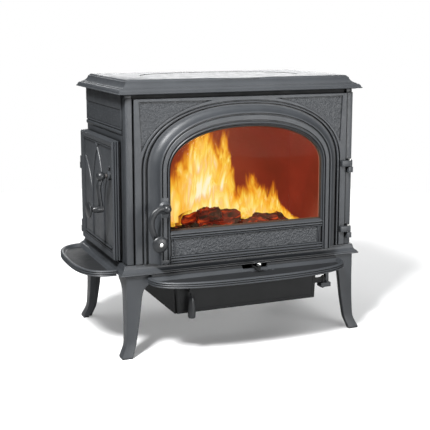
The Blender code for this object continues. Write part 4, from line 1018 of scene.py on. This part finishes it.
def make_side_handle():
    pivot = SIDE_HANDLE
    foot = Vector((pivot.x, pivot.y, pivot.z - HANDLE_DROP))
    bm = bmesh.new()
    bends = [(0, -0.004), (-0.001, -0.014), (-0.006, -0.027), (-0.005, -0.05), (-0.002, -0.075)]
    points = [pivot + Vector((outward, 0, up)) for outward, up in bends] + [foot]
    sizes = mm((6.6, 8), (6.6, 8.6), (7, 9.4), (6.6, 9), (6.6, 8.8), (7.8, 9))
    add_bar(bm, points, sizes, (0, 1, 0), 16, 8)
    add_turned(bm, ball_profile(0.013, -0.0115, 0.013), pivot, "X", 40)
    add_turned(bm, [(0.008, -0.007), (0.0098, -0.0055), (0.0098, 0.005), (0.008, 0.0062)], foot, "X", 32)
    piece("side_handle_forging", bm, HANDLE_IRON, "side_handle", ["side_handle_arm"], smooth=50)
    bm = bmesh.new()
    stem = [(0.005, -0.0045), (0.0098, -0.006), (0.0106, -0.0085), (0.0092, -0.0155), (0.0086, -0.0205)]
    add_turned(bm, stem + [(0.008, -0.022), (0.0038, -0.0305)], foot, "X", 32)
    piece("side_handle_spool", bm, HANDLE_IRON, "side_handle", ["side_handle_stem"], smooth=50)
    bm = bmesh.new()
    crown = [(radius, -height) for radius, height in knob_profile(0.0226, 0.02)]
    add_turned(bm, crown, (foot.x - 0.0223, foot.y, foot.z), "X", 56)
    piece("side_handle_mushroom_knob", bm, HANDLE_IRON, "side_handle", ["side_handle_knob"], smooth=60)


# ---------------- ash door and air lever


def make_ash_door():
    low = own_box("ash_door")[0]
    front, back = low.y, own_box("ash_door_gasket")[0].y - 0.0003
    half, taper, top_z = 0.222, 0.005, 0.2105
    profile = [(0.0, back), (0.0, front + 0.003), (0.0012, front + 0.0008), (0.003, front), (0.01, front)]
    sections = []
    for inset, y in profile + [(0.0112, front + 0.0008), (0.0125, front + 0.0008)]:
        foot, top, wide = low.z + inset, top_z - inset, half - inset
        narrow = wide - taper
        sections.append([(-narrow, y, foot), (narrow, y, foot), (wide, y, top), (-wide, y, top)])
    bm = bmesh.new()
    add_loft(bm, sections)
    x, y, _, _ = pin_line("ash_hinge_pin")
    strap_z, strap_height = 0.16, 0.016
    add_box(bm, (half - 0.02, y - 0.004, strap_z), (x, y, strap_z + strap_height), 0.0012)
    add_eye(bm, x, y, strap_z, 0.007, strap_height, 28)
    piece("ash_door_pressing", bm, SHEET, "ash_door", ["ash_door"])
    x, y, foot, _ = pin_line("ash_handle_grip")
    bm = bmesh.new()
    profile = mm((5, 0), (8.8, 0.6), (10.4, 3), (11, 7), (11.1, 14), (10.6, 30))
    profile += mm((9.7, 45), (8.3, 55), (6.2, 60.5), (4.8, 62))
    add_turned(bm, rounded_profile(profile, 4), (x, y, foot), "Z", 40)
    piece("ash_handle_turned_grip", bm, HANDLE_IRON, "ash_handle", ["ash_handle_grip"], smooth=50)


def make_lever_knob():
    x, y, foot, _ = pin_line("air_lever_knob")
    bm = bmesh.new()
    profile = mm((3, 0), (5.8, 1), (7.4, 3.5), (7.8, 6.2), (7, 9.2))
    add_turned(bm, rounded_profile(profile + [(0.0045, 0.0114), (0.0012, 0.012)], 4), (x, y, foot), "Z", 36)
    piece("air_lever_turned_knob", bm, BRIGHT, "air_control", ["air_lever_knob"], 60)


# ---------------- the fire


def add_log(bm, start, end, radius, seed):
    """A split log with rough bark, along the line from start to end."""
    start, end = Vector(start), Vector(end)
    along = (end - start).normalized()
    across = along.cross(Vector((0, 0, 1))).normalized()
    upward = across.cross(along)
    sections = []
    for row in range(29):
        share = row / 28
        centre = start.lerp(end, share)
        taper = min(1.0, 0.55 + 6 * min(share, 1 - share))
        ring = []
        for step in range(22):
            angle = 2 * pi * step / 22
            spot = Vector((share * 5 + seed, 1.8 * cos(angle), 1.8 * sin(angle)))
            swell = radius * taper * (1 + 0.3 * noise.noise(spot) + 0.12 * noise.noise(spot * 3.1))
            ring.append(centre + across * (swell * cos(angle)) + upward * (swell * sin(angle)))
        sections.append(ring)
    add_loft(bm, sections)


def make_logs():
    bm = bmesh.new()
    add_log(bm, (-0.25, 0.06, 0.3), (0.27, 0.09, 0.3), 0.03, 1.0)
    add_log(bm, (-0.24, -0.06, 0.296), (0.24, -0.045, 0.292), 0.028, 5.0)
    add_log(bm, (-0.12, 0.01, 0.33), (0.055, -0.062, 0.34), 0.027, 9.0)
    add_log(bm, (-0.085, -0.05, 0.346), (-0.012, -0.066, 0.356), 0.024, 21.0)
    add_log(bm, (0.06, -0.07, 0.314), (0.22, -0.01, 0.318), 0.02, 13.0)
    add_log(bm, (0.105, -0.04, 0.335), (0.185, -0.052, 0.326), 0.012, 41.0)
    piece("burning_logs", bm, CHAR, "stove", smooth=60)
    bm = bmesh.new()
    for index in range(16):
        along = index / 15
        y = -0.1 + 0.018 * sin(index * 2.3)
        middle = Vector((-0.215 + 0.135 * along, y, 0.318 + 0.01 * sin(index * 1.7)))
        turn = 1.9 * index
        reach = Vector((0.014 * cos(turn), 0.01 * sin(turn), 0.004 * sin(3 * turn)))
        add_log(bm, middle - reach, middle + reach, 0.0105, 50.0 + index)
    piece("charcoal_pieces", bm, CHARCOAL, "stove", smooth=40)


def make_embers():
    """A bed of coals: a lumpy heap over the grate."""
    bm = bmesh.new()
    columns, rows = 90, 44

    def corner(column, row):
        x = -0.32 + 0.63 * column / columns
        y = -0.168 + 0.32 * row / rows
        end, side = min(column / columns, 1 - column / columns), min(row / rows, 1 - row / rows)
        lumps = 0.5 + 0.5 * noise.noise(Vector((x, y, 0.3)) * 55)
        slow = 0.5 + 0.5 * noise.noise(Vector((x, y, 2.0)) * 9)
        rise = min(1.0, 7 * end, 5 * side) * (0.026 + 0.018 * lumps + 0.022 * slow)
        return bm.verts.new((x, y, 0.275 + rise))

    add_grid(bm, columns, rows, corner)
    piece("ember_bed", bm, EMBERS, "stove", smooth=60)


FLAME_OUTLINE = mm((-300, 390), (-220, 415), (-165, 425), (-145, 445), (-132, 490), (-118, 525))
FLAME_OUTLINE += mm((-100, 570), (-55, 610), (-5, 625), (30, 625), (50, 610), (62, 560))
FLAME_OUTLINE += mm((68, 480), (76, 410), (86, 392), (98, 425), (115, 435), (134, 478))
FLAME_OUTLINE += mm((147, 497), (158, 470), (170, 428), (190, 408), (204, 420), (217, 446))
FLAME_OUTLINE += mm((228, 405), (242, 382), (256, 350), (285, 312))


def flame_top(x):
    """Height of the fire's outline at x, eased between its points."""
    for (start, low), (end, high) in zip(FLAME_OUTLINE, FLAME_OUTLINE[1:]):
        if x <= end:
            share = max(0.0, (x - start) / (end - start))
            return low + (high - low) * share * share * (3 - 2 * share)
    return FLAME_OUTLINE[-1][1]


def add_curtain(bm, warmth, y, reach, shift, seed, core):
    """A sheet of flame across the fire; reach is its share of the outline's height, core how hot it gets."""
    columns, rows, foot = 200, 30, 0.3
    hottest_x, spread = -0.03, 0.06

    def corner(column, row):
        x = -0.3 + 0.58 * column / columns
        up = row / rows
        ragged = 0.14 * noise.noise(Vector((x * 34, seed, 0))) + 0.05 * noise.noise(Vector((x * 95, seed, 3)))
        z = foot + (flame_top(x - shift) - foot) * reach * (1 + ragged) * up
        sway = 0.016 * up * noise.noise(Vector((x * 9, z * 13, seed)))
        made = bm.verts.new((x + sway, y + 0.012 * noise.noise(Vector((x * 14, z * 8, seed + 5))), z))
        hot = core + 0.46 * 2.7 ** -(((x - hottest_x) / spread) ** 2)
        made[warmth] = max(0.0, hot * (1 - up**3.2) + 0.08 * (1 - up))
        return made

    add_grid(bm, columns, rows, corner)


def make_flames():
    """Curtains of flame one behind the other, the lower ones in front."""
    bm = bmesh.new()
    warmth = bm.verts.layers.float.new("warmth")
    add_curtain(bm, warmth, 0.075, 1.00, 0.008, 2.0, 0.6)
    add_curtain(bm, warmth, 0.04, 0.96, 0.000, 11.0, 0.68)
    add_curtain(bm, warmth, 0.01, 0.72, -0.006, 23.0, 0.68)
    add_curtain(bm, warmth, -0.015, 0.42, 0.012, 37.0, 0.62)
    piece("flames", bm, FLAME, "stove", smooth=60)


# ---------------- finish of the CAD nodes that stay


def paint_carried_nodes():
    surfaces = {
        ROUNDED_IRON: ["side_panel_left", "side_panel_right", "back_panel", "flue_collar", "ash_hinge_bracket"],
        # painted shadow on the front frame
        PAINTED_SHADOW_IRON: ["front_frame"],
        SHEET: ["ash_housing", "ash_pan", "ash_handle_rod", "air_lever", "air_slide_plate"],
        BARE: ["hearth_plate", "fire_grate", "side_door_liner", "front_handle_spindle", "front_latch_pawl"],
        ROPE: ["glass_gasket", "front_door_gasket", "side_door_gasket", "ash_door_gasket"],
        # painted firelight on the parts round the fire
        PAINTED_FIRELIGHT_WALL: ["burn_plate_rear", "burn_plate_right"],
        PAINTED_FIRELIGHT_BOARD: ["baffle_board"],
        FIRE_LIT_STEEL: ["glass_retainer"],
        GLASS: ["door_glass"],
    }
    surfaces[SHEET] += ["air_tube_1", "air_tube_2", "air_wash_deflector", "rear_heat_shield"]
    surfaces[BARE] += ["side_handle_spindle", "side_latch_pawl", "side_hinge_pin_lower", "side_hinge_pin_upper"]
    surfaces[BARE] += ["ash_hinge_pin", "ash_latch_pawl"]
    for surface, names in surfaces.items():
        for name in names:
            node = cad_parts[name]
            node.data.materials.clear()
            node.data.materials.append(surface)


# ---------------- studio


def soft_light(name, place, target, size, watts):
    light = bpy.data.lights.new(name, "AREA")
    light.shape = "RECTANGLE"
    light.size, light.size_y = size
    light.energy = watts
    lamp = bpy.data.objects.new(name, light)
    lamp.location = place
    lamp.rotation_euler = (Vector(target) - Vector(place)).to_track_quat("-Z", "Y").to_euler()
    bpy.context.scene.collection.objects.link(lamp)


def make_studio():
    """A pale round floor, soft lights from the front, from above and from behind, and the camera."""
    bm = bmesh.new()
    bmesh.ops.create_circle(bm, cap_ends=True, segments=96, radius=2.6)
    mesh = bpy.data.meshes.new("studio_floor")
    bm.to_mesh(mesh)
    bm.free()
    floor = bpy.data.objects.new("studio_floor", mesh)
    bpy.context.scene.collection.objects.link(floor)
    look = new_shading("pale_floor")
    tone = look.ramp(look.noise(2.0), [(0.3, (0.93, 0.93, 0.93)), (0.7, (0.95, 0.95, 0.95))])
    bounced = (0.4, 0.4, 0.4, 1)
    color = look.add("MixRGB", look.add("LightPath", give="Is Camera Ray"), bounced, tone)
    look.fill(look.shader, Base_Color=color, Roughness=0.9)
    mesh.materials.append(look.owner)

    sky = Shading(bpy.data.worlds.new("studio"))
    sky.fill(sky.shader, Color=(1, 1, 1, 1))
    dim = sky.add("Background", Color=(0.95, 0.98, 1, 1), Strength=0.12)
    seen = sky.add("LightPath", give="Is Camera Ray")
    sky.fill(sky.output, sky.add("MixShader", seen, dim, sky.shader.outputs[0]))
    bpy.context.scene.world = sky.owner

    target = (MIDDLE.x, MIDDLE.y, 0.45)
    soft_light("key_upper_left", (-1.45, -1.45, 2.6), target, (0.6, 0.6), 205)
    soft_light("fill_front_right", (1.25, -3.1, 0.75), target, (2.0, 1.3), 78)
    soft_light("overhead", (0.0, -0.2, 3.4), (0.0, -0.2, 0.0), (5.2, 5.2), 92)
    soft_light("panel_behind", (1.5, 3.2, 1.7), (0.0, 0.0, 0.8), (2.6, 1.2), 52)

    camera = bpy.data.cameras.new("camera")
    camera.sensor_width = 36
    camera.lens = 78.46
    camera.shift_y = -0.0814
    stand = bpy.data.objects.new("camera", camera)
    stand.location = Vector((-1.0934, -2.6143, 0.918)) + MIDDLE
    stand.rotation_euler = (radians(80.591), 0, radians(-22.615))
    bpy.context.scene.collection.objects.link(stand)
    bpy.context.scene.camera = stand
    bpy.context.scene.view_settings.view_transform = "Standard"


make_top_plate()
make_base_plate()
make_side_relief()
make_posts()
for width_side, width_word in ((LEFT, "left"), (RIGHT, "right")):
    for depth_side, depth_word in ((-1, "front"), (1, "rear")):
        make_leg(f"{depth_word}_{width_word}", width_side, depth_side)
make_shelves()
make_front_door()
make_front_hinge_pins()
make_front_handle()
make_side_door()
make_side_handle()
make_ash_door()
make_lever_knob()
make_logs()
make_embers()
make_flames()
paint_carried_nodes()
make_studio()
